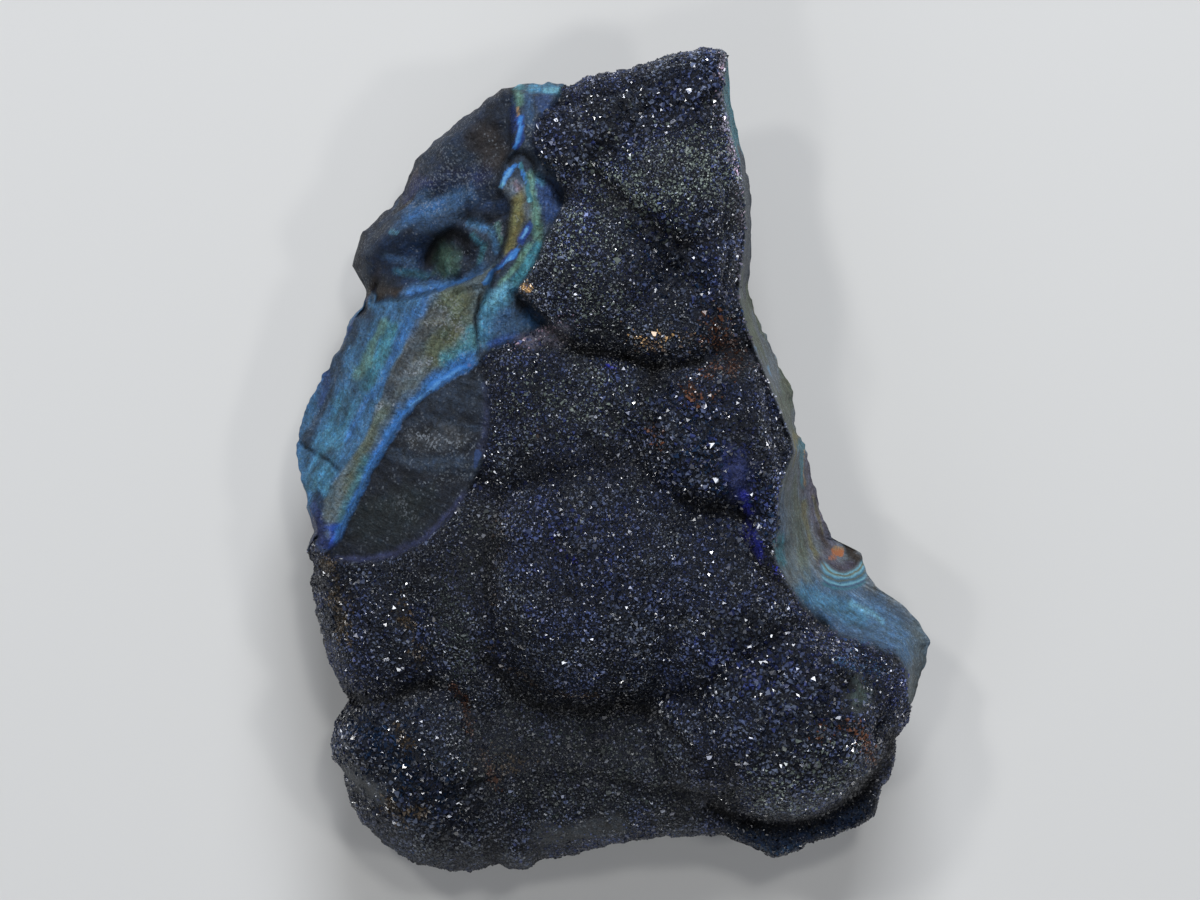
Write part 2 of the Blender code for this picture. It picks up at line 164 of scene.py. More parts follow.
def noise(x, y, z, size, seed):
    """Smooth field from -1 to 1: seeded values on a cubic lattice of step `size`, blended between
    lattice points with the cubic 3t^2 - 2t^3."""
    table = np.random.default_rng(seed).uniform(-1, 1, (32, 32, 32))
    place = [np.asarray(c) / size for c in np.broadcast_arrays(x, y, z)]
    cell = [np.floor(c).astype(int) for c in place]
    part = [c - k for c, k in zip(place, cell)]
    part = [t * t * (3 - 2 * t) for t in part]
    total = 0
    for corner in np.ndindex(2, 2, 2):
        weight = 1
        for t, side in zip(part, corner):
            weight = weight * (t if side else 1 - t)
        total = total + weight * table[tuple((k + side) % 32 for k, side in zip(cell, corner))]
    return total


def smooth_max(a, b, blend):
    """The larger of a and b, rounded where they cross over a band `blend` high."""
    t = np.clip(0.5 + 0.5 * (a - b) / blend, 0, 1)
    return b + (a - b) * t + blend * t * (1 - t)


def smooth_min(a, b, blend):
    """The smaller of a and b, rounded where they cross."""
    return -smooth_max(-a, -b, blend)


def ramp(v, low, high):
    """0 below low, 1 above high, the cubic 3t^2 - 2t^3 between."""
    t = np.clip((v - low) / (high - low), 0, 1)
    return t * t * (3 - 2 * t)


def bump(x, y, cx, cy, rx, ry, power=2):
    """exp(-q^power), q the distance from (cx, cy) in units of the radii."""
    return np.exp(-np.hypot((x - cx) / rx, (y - cy) / ry) ** power)


def depth_inside(x, y, outline):
    """Distance to the nearest side of a closed outline, positive inside and negative outside."""
    nearest, inside = np.full(np.shape(x), 1e9), np.zeros(np.shape(x), bool)
    for (ax, ay), (bx, by) in zip(outline, np.roll(outline, -1, axis=0)):
        dx, dy = bx - ax, by - ay
        t = np.clip(((x - ax) * dx + (y - ay) * dy) / (dx * dx + dy * dy), 0, 1)
        nearest = np.minimum(nearest, np.hypot(x - ax - t * dx, y - ay - t * dy))
        crosses = (ay > y) != (by > y)
        inside ^= crosses & (x < ax + (y - ay) * dx / (dy if dy else 1e-9))
    return np.where(inside, nearest, -nearest)


def crust(x, y):
    """Height of the druse: a floor along y, and on it domes of height top - fall * q^power, q the
    elliptical distance from the dome's centre; then swellings of three sizes."""
    height = np.interp(y, FLOOR_Y, FLOOR_Z) - SHELF_DROP * ramp(x, 7, 13) * ramp(-y, 20, 26)
    for cx, cy, rx, ry, turn, top, fall, power in DOMES.values():
        c, s = np.cos(np.radians(turn)), np.sin(np.radians(turn))
        q = np.hypot(((x - cx) * c + (y - cy) * s) / rx, ((y - cy) * c - (x - cx) * s) / ry)
        height = smooth_max(height, top - fall * q ** power, DOME_BLEND)
    return height + 0.55 * noise(x, y, 0, 5.0, 1) + 0.3 * noise(x, y, 0, 2.2, 2)


def outline_radius(turn):
    """Distance from the origin to the outline in the direction `turn` (radians)."""
    angle = np.arctan2(OUTLINE[:, 1], OUTLINE[:, 0])
    order = np.argsort(angle)
    angle, points = angle[order], OUTLINE[order]
    after = np.searchsorted(angle, np.arctan2(np.sin(turn), np.cos(turn))) % len(angle)
    a, b = points[after - 1], points[after]
    side = b - a
    turned = np.cos(turn) * side[..., 1] - np.sin(turn) * side[..., 0]
    return (a[..., 0] * b[..., 1] - a[..., 1] * b[..., 0]) / turned


def plan_grid(cells):
    """A square grid stretched over the outline. The square (u, v) goes to the disc
    (u sqrt(1 - v^2/2), v sqrt(1 - u^2/2)); the disc's radius is eased so that cells narrow towards the
    rim, and scaled by the outline's radius, which is smoothed away from the rim. The third value is how
    far a point lies in from the outline before chips push it in or out, so that they climb no edge."""
    u, v = np.meshgrid(np.linspace(-1, 1, cells + 1), np.linspace(-1, 1, cells + 1), indexing="ij")
    across, up = u * np.sqrt(1 - v * v / 2), v * np.sqrt(1 - u * u / 2)
    radius, turn = np.clip(np.hypot(across, up), 0, 1), np.arctan2(up, across)
    sharp = outline_radius(turn)
    nearby = [outline_radius(turn + step) for step in np.radians((-12, -8, -4, 0, 4, 8, 12))]
    smooth = np.mean(nearby, axis=0)
    reach = (1 - (1 - radius) ** 1.25) * (smooth + (sharp - smooth) * radius ** 6)
    x, y = reach * np.cos(turn), reach * np.sin(turn)
    edge = np.clip(depth_inside(x, y, OUTLINE), 0, None)
    chips = 0.14 * noise(x, y, 0, 0.9, 7) + 0.14 * noise(x, y, 0, 0.5, 8)
    reach = reach + chips * radius ** 12
    return reach * np.cos(turn), reach * np.sin(turn), edge


def rim_loop(cells):
    """Grid indices once round the grid's border, anticlockwise."""
    k = np.arange(cells)
    sides = (k, 0 * k), (0 * k + cells, k), (cells - k, 0 * k + cells), (0 * k, cells - k)
    return np.concatenate([i * (cells + 1) + j for i, j in sides])


def height_field(x, y, edge):
    """Height of the upper surface and the faces it is made of: the share of each face at a point, and
    distances that its markings follow. `edge` is how far a point lies in from the outline."""
    turn = np.degrees(np.arctan2(y, x))
    turn = np.where(turn < RIM[0, 0], turn + 360, turn)
    around = np.vstack([RIM, RIM[0] + (360, 0, 0, 0)])
    rim, rise, width = (np.interp(turn, around[:, 0], around[:, k]) for k in (1, 2, 3))

    # rounded edge: a quarter ellipse up from the rim, then a steep slope that leaves the rest free
    uneven = 0.9 * noise(x, y, 0, 5.0, 5) + 0.4 * noise(x, y, 0, 2.0, 6)
    inward = np.clip(edge + ramp(edge, 0, 3) * uneven, 0, None)
    q = np.clip(inward / width, 0, 1)
    limit = rim + rise * np.sqrt(q * (2 - q)) + 5 * np.clip(inward - width, 0, None)
    fine = 0.16 * noise(x, y, 0, 1.1, 3) + 0.09 * noise(x, y, 0, 0.6, 4)
    fine = fine + strongest(x, y, COARSE) * (0.26 * noise(x, y, 0, 1.5, 9) + 0.12 * noise(x, y, 0, 0.8, 10))
    height = smooth_min(crust(x, y), limit, 4.0) - CRYSTAL_BED + fine
    faces = {"broken": np.zeros(np.shape(x)), "edge": edge}
    sway = 1.8 * noise(x, y, height, 3.6, 93) + 1.1 * noise(x, y, height, 1.5, 94)
    sway = ramp(3.6 - edge, 0, 3) * sway

    def lay(name, height, face, outline):
        """Replaces the height inside an outline by that of a broken face, over a narrow border. Down the
        steep left edge the border sways with the height, so that it doesn't run straight down."""
        faces[name + " depth"] = depth_inside(x, y + sway * (name != "right"), outline)
        share = ramp(faces[name + " depth"], -BORDER, BORDER)
        faces["broken"] = faces["broken"] + share
        faces[name] = share
        return height + (face - height) * share

    # seam: a trough between the crust and the upper left, stepped along its floor
    floor = np.minimum(np.interp(y, SEAM_Y, SEAM_Z), limit) + 0.22 * noise(x * 1.6, y, 0, 1.7, 51)
    height = lay("seam", height, floor + 0.10 * noise(x * 2, y, 0, 0.8, 52), SEAM)

    # upper left: a lumpy slope with a long hollow, a ring-shaped pit round a knob, and a wart
    slope = smooth_min(26.8 + 0.34 * (x + 10.8), limit + 1.0, 3.0)
    slope = slope + 0.9 * noise(x, y, 0, 5.5, 11) + 0.45 * noise(x, y, 0, 2.4, 12)
    slope = slope + 0.24 * noise(x, y, 0, 0.9, 13)
    slope = slope - 2.0 * bump(x, y, -21, 20.3, 4.6, 2.6, 3) - 2.2 * bump(x, y, -16.4, 20.0, 2.9, 2.9, 4)
    slope = slope + 2.4 * bump(x, y, -16.2, 19.8, 1.5, 1.5) + 1.0 * bump(x, y, -25, 18.6, 1.3, 1.3)
    height = lay("upper left", height, slope, UPPER_LEFT)

    # left flank: two broken planes that meet in a ridge running down to the left
    along = ((x + 15) * -13 + (y - 15) * -22) / 25.55
    ridge = np.interp(along, (-5, 4, 10, 16, 22), (0.2, 0.3, 0, -0.7, 0.3))
    beyond = (x + 18.3) * -0.885 + (y - 16.3) * 0.465 - ridge
    inner = 27.6 - 0.30 * along
    flank = np.minimum(np.minimum(inner, inner - 1.1 * beyond), limit + 2) + 0.25 * noise(x, y, 0, 3.5, 21)
    flank = flank + 0.10 * noise(beyond * 2.2, along * 0.7, 0, 1.0, 23)
    height = lay("flank", height, flank, FLANK)
    faces["inner flank"] = faces["flank"] * ramp(-beyond + 0.15 * noise(x, y, 0, 1.0, 26), -0.2, 0.2)
    faces["outer flank"] = faces["flank"]

    # disc: a domed layer cut by one plane that falls to the left, combed with faint waves
    waved = 0.9 * y + 0.3 * x + 0.9 * noise(x, y, 0, 3.4, 24)
    comb = 0.16 * noise(x * 0.3, waved * 1.7, 0, 0.9, 25) + 0.07 * noise(x * 0.5, waved * 3, 0, 0.9, 27)
    height = lay("disc", height, 28.0 + 0.46 * (x + 13) + comb * (0.3 + 0.7 * ramp(y, -4, 0)), DISC)

    # right face: a scoop, steep under the crust's edge and flatter towards the rim, with a pit
    inside = np.clip(depth_inside(x, y, RIGHT_FACE), 0, None)
    t = inside / (inside + edge + 1e-6)
    scoop = rim + (np.interp(y, EDGE_Y, EDGE_Z) - rim) * (1 - t) ** 1.5
    scoop = scoop + (0.35 * noise(x, y, 0, 3.0, 31) + 0.14 * noise(x * 2, y, 0, 1.1, 32)) * ramp(t, 0, 0.2)
    scoop = scoop - 1.2 * bump(x, y, 23.1, -9.2, 1.3, 1.3)
    height = lay("right", height, scoop, RIGHT_FACE)

    wx, wy = wander(x, y, 0)
    # painted shade: each crease darkens the stone and the crystals along its line by its darkness
    shade = np.zeros(np.shape(x))
    for half_width, deep, painted_darkness, line in CREASES:
        close = np.exp(-(distance_to(wx, wy, line) / half_width) ** 2)
        height = height - deep * close
        shade = np.maximum(shade, painted_darkness * close)
    faces.update(along=along, beyond=beyond, shade=shade, druse=1 - np.clip(faces["broken"], 0, 1))
    return height, faces


def wander(x, y, z):
    """A place shifted by noise, so that a mark drawn there wanders."""
    return x + 0.16 * noise(x, y, z, 1.1, 61), y + 0.16 * noise(x, y, z, 1.1, 62)


def distance_to(x, y, line):
    """Distance to an open line of straight stretches on the sheet."""
    points = on_sheet(*line)
    nearest = np.full(np.shape(x), 1e9)
    for (ax, ay), (bx, by) in zip(points[:-1], points[1:]):
        dx, dy = bx - ax, by - ay
        t = np.clip(((x - ax) * dx + (y - ay) * dy) / (dx * dx + dy * dy), 0, 1)
        nearest = np.minimum(nearest, np.hypot(x - ax - t * dx, y - ay - t * dy))
    return nearest


# ------------------------------------------------------------------ markings, as strokes on the sheet

# sRGB colours of the stone's layers and stains
COLOURS = {
    "ink": "#0a0d14", "navy": "#13233a", "night": "#1a212d", "slate": "#2b3644", "denim": "#34506f",
    "blue": "#34659c", "royal": "#1d3f92", "steel": "#586468", "harbour": "#3a6284", "mauve": "#55535f",
    "coal": "#161b24", "azure": "#3c7cc4", "sky": "#7ab6e4", "teal": "#397280", "lagoon": "#3d6f8a",
    "turquoise": "#74b0c2", "reed": "#56796c", "sage": "#34493f", "olive": "#535b49", "khaki": "#68643c",
    "stone": "#5e666c", "ash": "#43474b", "umber": "#2a241f", "plum": "#3d3846", "violet": "#262e55",
    "iris": "#2b4068", "lilac": "#3b4163", "ultramarine": "#262c82", "orange": "#ad6a40", "tan": "#a5855a",
    "rust": "#553524", "brown": "#40342a", "dust": "#565e58", "moss": "#1d2523", "pitch": "#070b16",
    "ochre": "#43382a", "rose": "#7c6a78", "pale": "#7d837c",
}
# what each broken face is made of before the washes are laid on it
FACE_COLOURS = {"seam": "slate", "upper left": "night", "outer flank": "harbour", "inner flank": "steel",
                "disc": "coal", "right": "stone"}

# stains of the old surface round the back: colour, strength, size in mm, seed
STAINS = [("olive", 0.55, 5.0, 74), ("ash", 0.8, 3.4, 75), ("umber", 0.85, 4.0, 73),
          ("night", 0.8, 3.0, 60)]
# depths in mm under the rim between which its colours run even, the old surface takes over from them, and
# the druse thins out
EVEN_DEPTHS, OLD_DEPTHS, BARE_DEPTHS = (-2.5, -0.5), (0.5, 3.5), (1.0, 6.0)

# washes on each face, laid one over another: colour, strength, half width in mm, line
WASHES = {
    "outer flank": [
        ("slate", 0.85, 0.8, [(368, 315), (340, 358), (318, 400), (303, 430)]),
        ("teal", 0.8, 0.8, [(392, 328), (382, 352), (366, 382)]),
        ("reed", 0.75, 0.5, [(384, 322), (373, 343), (358, 374)]),
        ("lagoon", 0.9, 1.4, [(345, 405), (325, 445), (315, 490)]),
        ("slate", 0.5, 0.5, [(362, 378), (335, 420)]),
        ("blue", 0.7, 0.7, [(434, 295), (414, 320), (398, 346)]),
        ("blue", 0.7, 0.35, [(398, 346), (380, 382), (362, 405), (347, 440)]),
        ("iris", 0.95, 0.45, [(352, 318), (344, 336)]), ("iris", 0.9, 0.4, [(333, 348), (318, 382)]),
        ("slate", 0.6, 0.5, [(330, 452), (312, 470), (306, 500)]),
        ("lagoon", 0.8, 0.8, [(322, 470), (313, 500)]),
        ("navy", 0.9, 0.5, [(320, 502), (317, 525), (326, 545)]),
        ("violet", 0.8, 0.8, [(304, 546), (316, 534), (328, 550)]),
    ],
    "inner flank": [
        ("olive", 1.0, 1.9, [(458, 300), (446, 325), (438, 350)]),
        ("ash", 0.8, 1.0, [(436, 318), (408, 356), (388, 384)]),
        ("pale", 0.5, 0.25, [(424, 322), (445, 321), (462, 328)]),
        ("teal", 0.8, 0.7, [(474, 332), (470, 348), (448, 360)]),
        ("slate", 0.6, 1.0, [(385, 395), (368, 420)]), ("stone", 0.6, 0.5, [(410, 372), (428, 360)]),
        ("stone", 0.5, 0.4, [(378, 407), (396, 403)]),
        ("olive", 0.7, 0.9, [(384, 416), (364, 450), (350, 488)]),
        ("denim", 0.6, 0.5, [(438, 372), (408, 398), (384, 430), (366, 466)]),
        ("teal", 0.6, 0.7, [(366, 462), (350, 500), (342, 522)]),
        ("royal", 0.9, 0.7, [(337, 530), (333, 545)]),
        ("blue", 1.0, 0.75, [(472, 362), (452, 371), (428, 387)]),
        ("blue", 1.0, 0.40, [(428, 387), (404, 410), (386, 436), (371, 465), (354, 500), (337, 540)]),
    ],
    "upper left": [
        ("navy", 0.7, 1.6, [(425, 160), (450, 130), (475, 112)]),
        ("violet", 0.5, 1.0, [(440, 178), (480, 176)]),
        ("navy", 0.7, 1.2, [(372, 225), (400, 205), (430, 190)]),
        ("denim", 0.4, 1.2, [(420, 222), (455, 212)]), ("umber", 0.7, 1.5, [(478, 130), (498, 156)]),
        ("slate", 0.3, 1.4, [(430, 145), (462, 118)]), ("slate", 0.5, 0.8, [(450, 150), (474, 168)]),
        ("slate", 0.5, 0.6, [(430, 172), (470, 182)]), ("navy", 0.6, 0.7, [(440, 186), (490, 190)]),
        ("denim", 0.9, 0.9, [(398, 222), (430, 207), (466, 197)]),
        ("denim", 0.7, 0.6, [(398, 205), (425, 192)]), ("blue", 0.4, 0.4, [(405, 218), (440, 204)]),
        ("slate", 0.7, 0.8, [(362, 246), (378, 226), (392, 214)]),
        ("navy", 1.0, 1.5, [(388, 246), (425, 250)]),
        ("navy", 0.9, 0.9, [(380, 262), (410, 276), (440, 282)]),
        ("denim", 0.5, 0.3, [(384, 254), (412, 262)]), ("teal", 0.3, 0.3, [(396, 270), (424, 274)]),
        ("navy", 0.8, 0.7, [(470, 205), (506, 206)]), ("turquoise", 0.4, 0.14, [(391, 230), (396, 233)]),
        ("slate", 0.9, 1.0, [(476, 224), (492, 240), (488, 262), (470, 276)]),
        ("harbour", 0.8, 0.35, [(468, 221), (490, 230), (499, 250)]),
        ("teal", 0.6, 0.25, [(472, 234), (484, 246), (480, 264)]),
        ("reed", 0.5, 0.25, [(498, 226), (503, 244)]),
        # the ink arc round the knob's pit is painted shadow of the pit's wall
        ("ink", 0.95, 0.45, [(427, 262), (430, 250), (438, 240), (452, 231), (464, 236), (468, 250)]),
        ("sage", 1.0, 1.1, [(446, 257), (449, 268)]), ("reed", 0.4, 0.4, [(447, 258), (449, 266)]),
        ("umber", 0.9, 0.8, [(354, 262), (368, 268), (377, 284)]),
        ("iris", 0.9, 0.5, [(362, 276), (370, 280)]), ("brown", 0.8, 0.4, [(411, 162), (414, 172)]),
        ("umber", 1.0, 0.45, [(403, 189), (411, 191)]), ("violet", 0.6, 0.7, [(408, 176), (428, 182)]),
        ("umber", 0.9, 0.5, [(372, 296), (382, 288), (404, 293)]),
        ("denim", 0.95, 0.6, [(404, 296), (420, 289), (440, 287), (462, 281), (484, 268)]),
        ("blue", 0.5, 0.3, [(410, 291), (440, 286), (466, 279)]),
    ],
    "disc": [
        ("slate", 0.6, 1.6, [(440, 392), (484, 396)]),
        ("slate", 0.5, 0.35, [(410, 422), (430, 416), (455, 423), (482, 430)]),
        ("ash", 0.5, 0.9, [(415, 440), (455, 436)]),
        ("slate", 0.8, 0.6, [(395, 452), (420, 460), (455, 460), (482, 466)]),
        ("slate", 0.4, 0.30, [(388, 456), (405, 462), (428, 471), (445, 468), (474, 476)]),
        ("moss", 0.5, 2.2, [(370, 520), (410, 505)]),
        ("lilac", 0.4, 0.35, [(487, 385), (488, 420), (483, 450)]),
        ("lilac", 0.8, 0.5, [(340, 560), (364, 562), (397, 556), (422, 543), (448, 519), (466, 498)]),
        ("blue", 0.8, 0.16, [(478, 363), (452, 378), (424, 395), (399, 424), (377, 460), (357, 500),
                             (339, 538)]),
    ],
    "seam": [
        ("iris", 0.7, 0.8, [(545, 102), (550, 118)]), ("violet", 0.9, 0.9, [(540, 128), (544, 145)]),
        ("denim", 0.7, 0.5, [(528, 98), (530, 125)]), ("slate", 0.8, 0.7, [(532, 132), (530, 150)]),
        ("iris", 1.0, 1.2, [(545, 190), (550, 208)]), ("lagoon", 0.8, 0.35, [(537, 178), (543, 183)]),
        ("royal", 0.5, 0.5, [(511, 100), (514, 128)]), ("reed", 0.9, 0.45, [(516, 88), (519, 104)]),
        ("teal", 1.0, 0.5, [(507, 85), (524, 86)]), ("lagoon", 1.0, 0.55, [(530, 85), (546, 86)]),
        ("lagoon", 1.0, 0.5, [(549, 88), (575, 92)]), ("turquoise", 0.7, 0.2, [(546, 90), (572, 92)]),
        ("turquoise", 0.6, 0.2, [(512, 84), (524, 84)]), ("slate", 0.9, 0.2, [(526, 80), (527, 87)]),
        ("stone", 0.7, 0.6, [(512, 186), (518, 200)]), ("rose", 0.7, 0.2, [(515, 184), (518, 190)]),
        ("reed", 0.9, 0.35, [(531, 176), (535, 204)]),
        ("khaki", 0.9, 0.6, [(519, 202), (516, 226), (510, 250)]),
        ("stone", 0.9, 0.4, [(529, 206), (532, 218)]),
        ("reed", 0.9, 0.5, [(536, 208), (538, 226), (538, 240)]),
        ("reed", 0.9, 0.35, [(530, 246), (516, 266), (500, 283)]),
        ("teal", 1.0, 0.5, [(538, 246), (525, 268), (512, 284)]),
        ("slate", 0.9, 0.4, [(505, 269), (495, 277)]),
        ("lagoon", 0.9, 1.0, [(508, 290), (490, 308), (484, 330)]),
        ("turquoise", 0.35, 0.7, [(506, 286), (489, 302)]),
        ("denim", 0.95, 1.5, [(506, 326), (528, 326)]), ("blue", 0.4, 0.6, [(530, 312), (543, 328)]),
        ("royal", 0.4, 0.3, [(492, 342), (520, 336)]),
        ("brown", 0.9, 0.2, [(468, 281), (487, 277), (499, 269)]),
        ("mauve", 0.9, 0.6, [(526, 338), (560, 330)]),
    ],
    "right": [
        ("teal", 0.95, 1.0, [(728, 82), (735, 142)]), ("slate", 0.7, 0.9, [(746, 165), (750, 278)]),
        ("olive", 0.9, 1.0, [(749, 290), (760, 332)]), ("stone", 0.7, 0.8, [(765, 345), (790, 400)]),
        ("olive", 0.8, 0.6, [(775, 385), (795, 425)]), ("khaki", 0.95, 0.4, [(797, 434), (798, 450)]),
        ("teal", 0.8, 0.5, [(803, 452), (808, 478)]), ("tan", 0.9, 0.16, [(807, 472), (808, 475)]),
        ("steel", 0.9, 1.0, [(788, 482), (792, 540), (802, 598)]),
        ("olive", 0.7, 0.5, [(798, 500), (804, 560), (812, 590)]),
        ("denim", 0.6, 0.4, [(780, 500), (782, 540)]),
        ("mauve", 0.95, 0.9, [(811, 484), (820, 515), (833, 548)]),
        ("khaki", 0.7, 0.25, [(806, 505), (812, 540), (820, 562)]),
        ("khaki", 0.5, 0.15, [(816, 500), (826, 535)]), ("brown", 0.7, 0.3, [(822, 532), (830, 545)]),
        ("teal", 0.9, 0.6, [(777, 538), (779, 560)]),
        ("harbour", 0.8, 2.4, [(815, 600), (870, 620), (905, 645)]),
        ("lagoon", 0.6, 0.8, [(800, 590), (836, 606), (862, 618)]),
        ("denim", 0.6, 0.6, [(812, 610), (850, 634), (890, 646)]),
        ("slate", 0.5, 0.4, [(866, 590), (900, 612), (925, 638)]),
        ("steel", 0.8, 0.9, [(922, 630), (922, 660), (912, 708)]),
        ("turquoise", 0.4, 0.25, [(852, 604), (872, 612), (884, 622)]),
        ("plum", 0.95, 0.5, [(824, 562), (843, 569), (860, 565)]),
        ("umber", 1.0, 0.6, [(854, 551), (862, 560)]),
    ],
    "druse": [
        ("violet", 1.0, 1.1, [(732, 458), (738, 492)]), ("mauve", 0.9, 0.9, [(526, 340), (562, 333)]),
        ("ultramarine", 1.0, 0.4, [(742, 492), (747, 510)]),
        ("ultramarine", 1.0, 0.5, [(746, 526), (753, 542), (759, 554)]),
        ("ash", 0.8, 1.3, [(852, 684), (860, 698)]), ("sage", 0.5, 1.0, [(852, 684), (858, 694)]),
        # the ink mark at the small pit is painted shade in it
        ("ink", 0.95, 0.8, [(840, 677), (846, 684)]), ("ash", 1.0, 1.2, [(345, 774), (375, 792)]),
        ("ash", 0.8, 1.3, [(545, 838), (580, 834), (616, 824)]),
        ("navy", 1.0, 1.6, [(735, 842), (790, 845), (860, 822)]),
        ("denim", 0.6, 0.5, [(742, 850), (775, 858), (800, 852)]),
        ("tan", 0.9, 0.35, [(523, 287), (529, 289)]),
    ],
}

# crisp veins: colour, strength, half width, line
VEINS = [
    ("tan", 0.85, 0.12, [(518, 108), (520, 120)]), ("royal", 0.5, 0.40, [(522, 120), (519, 146)]),
    ("azure", 1.0, 0.18, [(522, 118), (521, 132), (517, 148)]),
    ("azure", 1.0, 0.36, [(515, 165), (508, 175)]), ("azure", 0.9, 0.22, [(508, 175), (501, 186)]),
    ("teal", 0.9, 0.22, [(521, 165), (527, 184), (531, 201)]),
    ("azure", 0.9, 0.20, [(522, 172), (525, 183)]), ("navy", 0.8, 0.16, [(524, 184), (527, 186)]),
    ("navy", 0.8, 0.14, [(530, 219), (531, 222)]), ("royal", 0.6, 0.30, [(530, 226), (522, 240)]),
    ("royal", 0.5, 0.40, [(514, 255), (500, 266)]), ("azure", 1.0, 0.26, [(514, 255), (501, 266)]),
    ("azure", 0.9, 0.16, [(518, 250), (496, 270)]), ("azure", 1.0, 0.20, [(494, 271), (486, 284)]),
    ("azure", 0.9, 0.30, [(471, 364), (452, 372), (430, 387)]),
    ("azure", 0.5, 0.15, [(430, 387), (405, 411), (387, 437), (373, 466)]),
    ("iris", 0.9, 0.35, [(478, 452), (477, 464)]), ("turquoise", 0.5, 0.25, [(774, 542), (778, 552)]),
    ("orange", 0.95, 0.27, [(836, 552), (844, 554)]), ("orange", 0.8, 0.16, [(832, 558), (838, 559)]),
    ("tan", 0.9, 0.10, [(838, 548), (846, 550)]), ("umber", 0.9, 0.2, [(851, 547), (854, 553)]),
    ("azure", 0.4, 0.2, [(440, 290), (452, 284), (482, 272)]),
    # ink lines: painted shade in hairline cracks
    ("ink", 0.9, 0.07, [(513, 310), (520, 316), (528, 319)]),
    ("ink", 0.7, 0.08, [(303, 446), (318, 454), (338, 468)]),
    ("ink", 0.6, 0.06, [(770, 547), (778, 543), (787, 543)]),
    ("ink", 0.6, 0.05, [(788, 543), (792, 530), (790, 516)]),
]
# lighter lines over them
HIGHLIGHTS = [
    ("sky", 0.4, 0.14, [(462, 368), (440, 380), (410, 406)]),
    ("rose", 0.9, 0.18, [(470, 363), (472, 366)]), ("sky", 0.5, 0.10, [(521, 124), (518, 142)]),
    ("sky", 0.7, 0.16, [(512, 169), (504, 181)]), ("turquoise", 0.9, 0.14, [(503, 184), (500, 187)]),
    ("turquoise", 0.9, 0.12, [(529, 199), (531, 203)]), ("azure", 1.0, 0.12, [(528, 227), (522, 238)]),
    ("sky", 0.7, 0.08, [(527, 229), (523, 236)]), ("sky", 0.6, 0.12, [(511, 258), (503, 264)]),
    ("sky", 0.6, 0.10, [(491, 276), (486, 283)]), ("sky", 0.7, 0.15, [(769, 366), (771, 374)]),
    ("sky", 0.5, 0.12, [(755, 348), (756, 352)]),
    ("pale", 0.6, 0.10, [(424, 322), (445, 321), (462, 328)]),
]

# where pale grains lie on the broken faces, partly painted glints, as in the cluster on the disc: strength,
# half width, line
FROST = [
    (0.6, 1.1, [(415, 436), (440, 441), (462, 446)]), (0.3, 0.8, [(440, 478), (468, 470)]),
    (0.3, 0.8, [(400, 500), (412, 515)]), (0.45, 0.9, [(444, 150), (455, 160)]),
    (0.4, 1.6, [(430, 180), (480, 175)]), (0.9, 0.7, [(410, 374), (430, 358)]),
    (0.8, 0.4, [(378, 407), (398, 402)]), (0.7, 0.3, [(424, 322), (462, 328)]),
    (0.5, 1.5, [(445, 305), (455, 330)]), (1.0, 0.9, [(524, 342), (560, 332)]),
    (0.5, 1.0, [(532, 125), (538, 150)]), (0.6, 0.6, [(410, 200), (440, 208)]),
]

# cracks and creases: half width and depth in mm, darkness of the painted shade laid along them on the stone
# and its crystals, line
CREASES = [
    (0.26, 0.9, 0.9, [(510, 161), (516, 154), (526, 155), (533, 163), (536, 176), (551, 182), (562, 195),
                      (564, 204)]),
    (0.15, 0.6, 0.9, [(483, 290), (475, 318), (479, 344)]), (0.22, 0.5, 0.6, [(454, 293), (482, 288)]),
    (0.18, 0.4, 0.6, [(299, 444), (312, 452), (338, 469)]),
    (0.20, 0.4, 0.6, [(460, 217), (485, 221), (508, 214)]), (0.30, 0.8, 0.8, [(376, 284), (371, 299)]),
    (0.16, 0.3, 0.7, [(512, 305), (528, 318)]), (0.14, 0.3, 0.6, [(770, 547), (786, 542)]),
    (0.50, 0.8, 0.7, [(430, 256), (438, 240), (454, 231), (466, 240)]),
    (0.55, 1.3, 0.8, [(516, 295), (528, 307), (541, 322), (560, 336), (580, 349), (600, 352),
                      (625, 357)]),
    (0.50, 1.3, 0.8, [(625, 357), (645, 364), (675, 366), (700, 362)]),
    (0.70, 1.0, 0.6, [(687, 497), (707, 507), (732, 510), (747, 520)]),
    (0.60, 1.2, 0.8, [(741, 514), (749, 540), (758, 567), (780, 584), (797, 602), (826, 626)]),
    (0.80, 1.2, 0.7, [(487, 660), (505, 681), (530, 701), (555, 708), (592, 707), (622, 703)]),
    (0.60, 1.0, 0.7, [(622, 703), (657, 712), (680, 738), (695, 758)]),
    (0.90, 0.4, 0.3, [(500, 505), (492, 560), (486, 610), (488, 645)]),
    (0.60, 1.1, 0.7, [(333, 702), (362, 700), (387, 702), (410, 692), (432, 682)]),
    (0.50, 0.5, 0.4, [(432, 682), (455, 690), (466, 705), (470, 735)]),
    (0.90, 1.5, 0.9, [(712, 806), (740, 821), (775, 829), (806, 827), (833, 814), (857, 796), (876, 777),
                      (888, 757), (894, 735)]),
    (0.60, 0.6, 0.4, [(704, 770), (712, 806)]),
    (0.80, 0.9, 0.6, [(598, 178), (625, 205), (655, 228), (684, 246)]),
    (0.90, 0.5, 0.3, [(560, 200), (585, 175), (628, 112), (715, 106)]),
    (0.35, 0.6, 0.8, [(683, 615), (685, 619)]), (0.35, 0.6, 0.8, [(691, 656), (693, 659)]),
    (0.40, 0.5, 0.7, [(820, 618), (826, 630)]), (0.50, 0.8, 0.9, [(838, 675), (847, 680)]),
    (0.35, 0.5, 0.7, [(874, 646), (878, 650)]), (0.35, 0.5, 0.7, [(893, 655), (896, 662)]),
    (0.60, 0.6, 0.5, [(655, 366), (640, 400), (655, 432)]),
]

# colour of the pale grains, which partly stand for painted glints
PALE_GRAIN = "#9aa3ac"

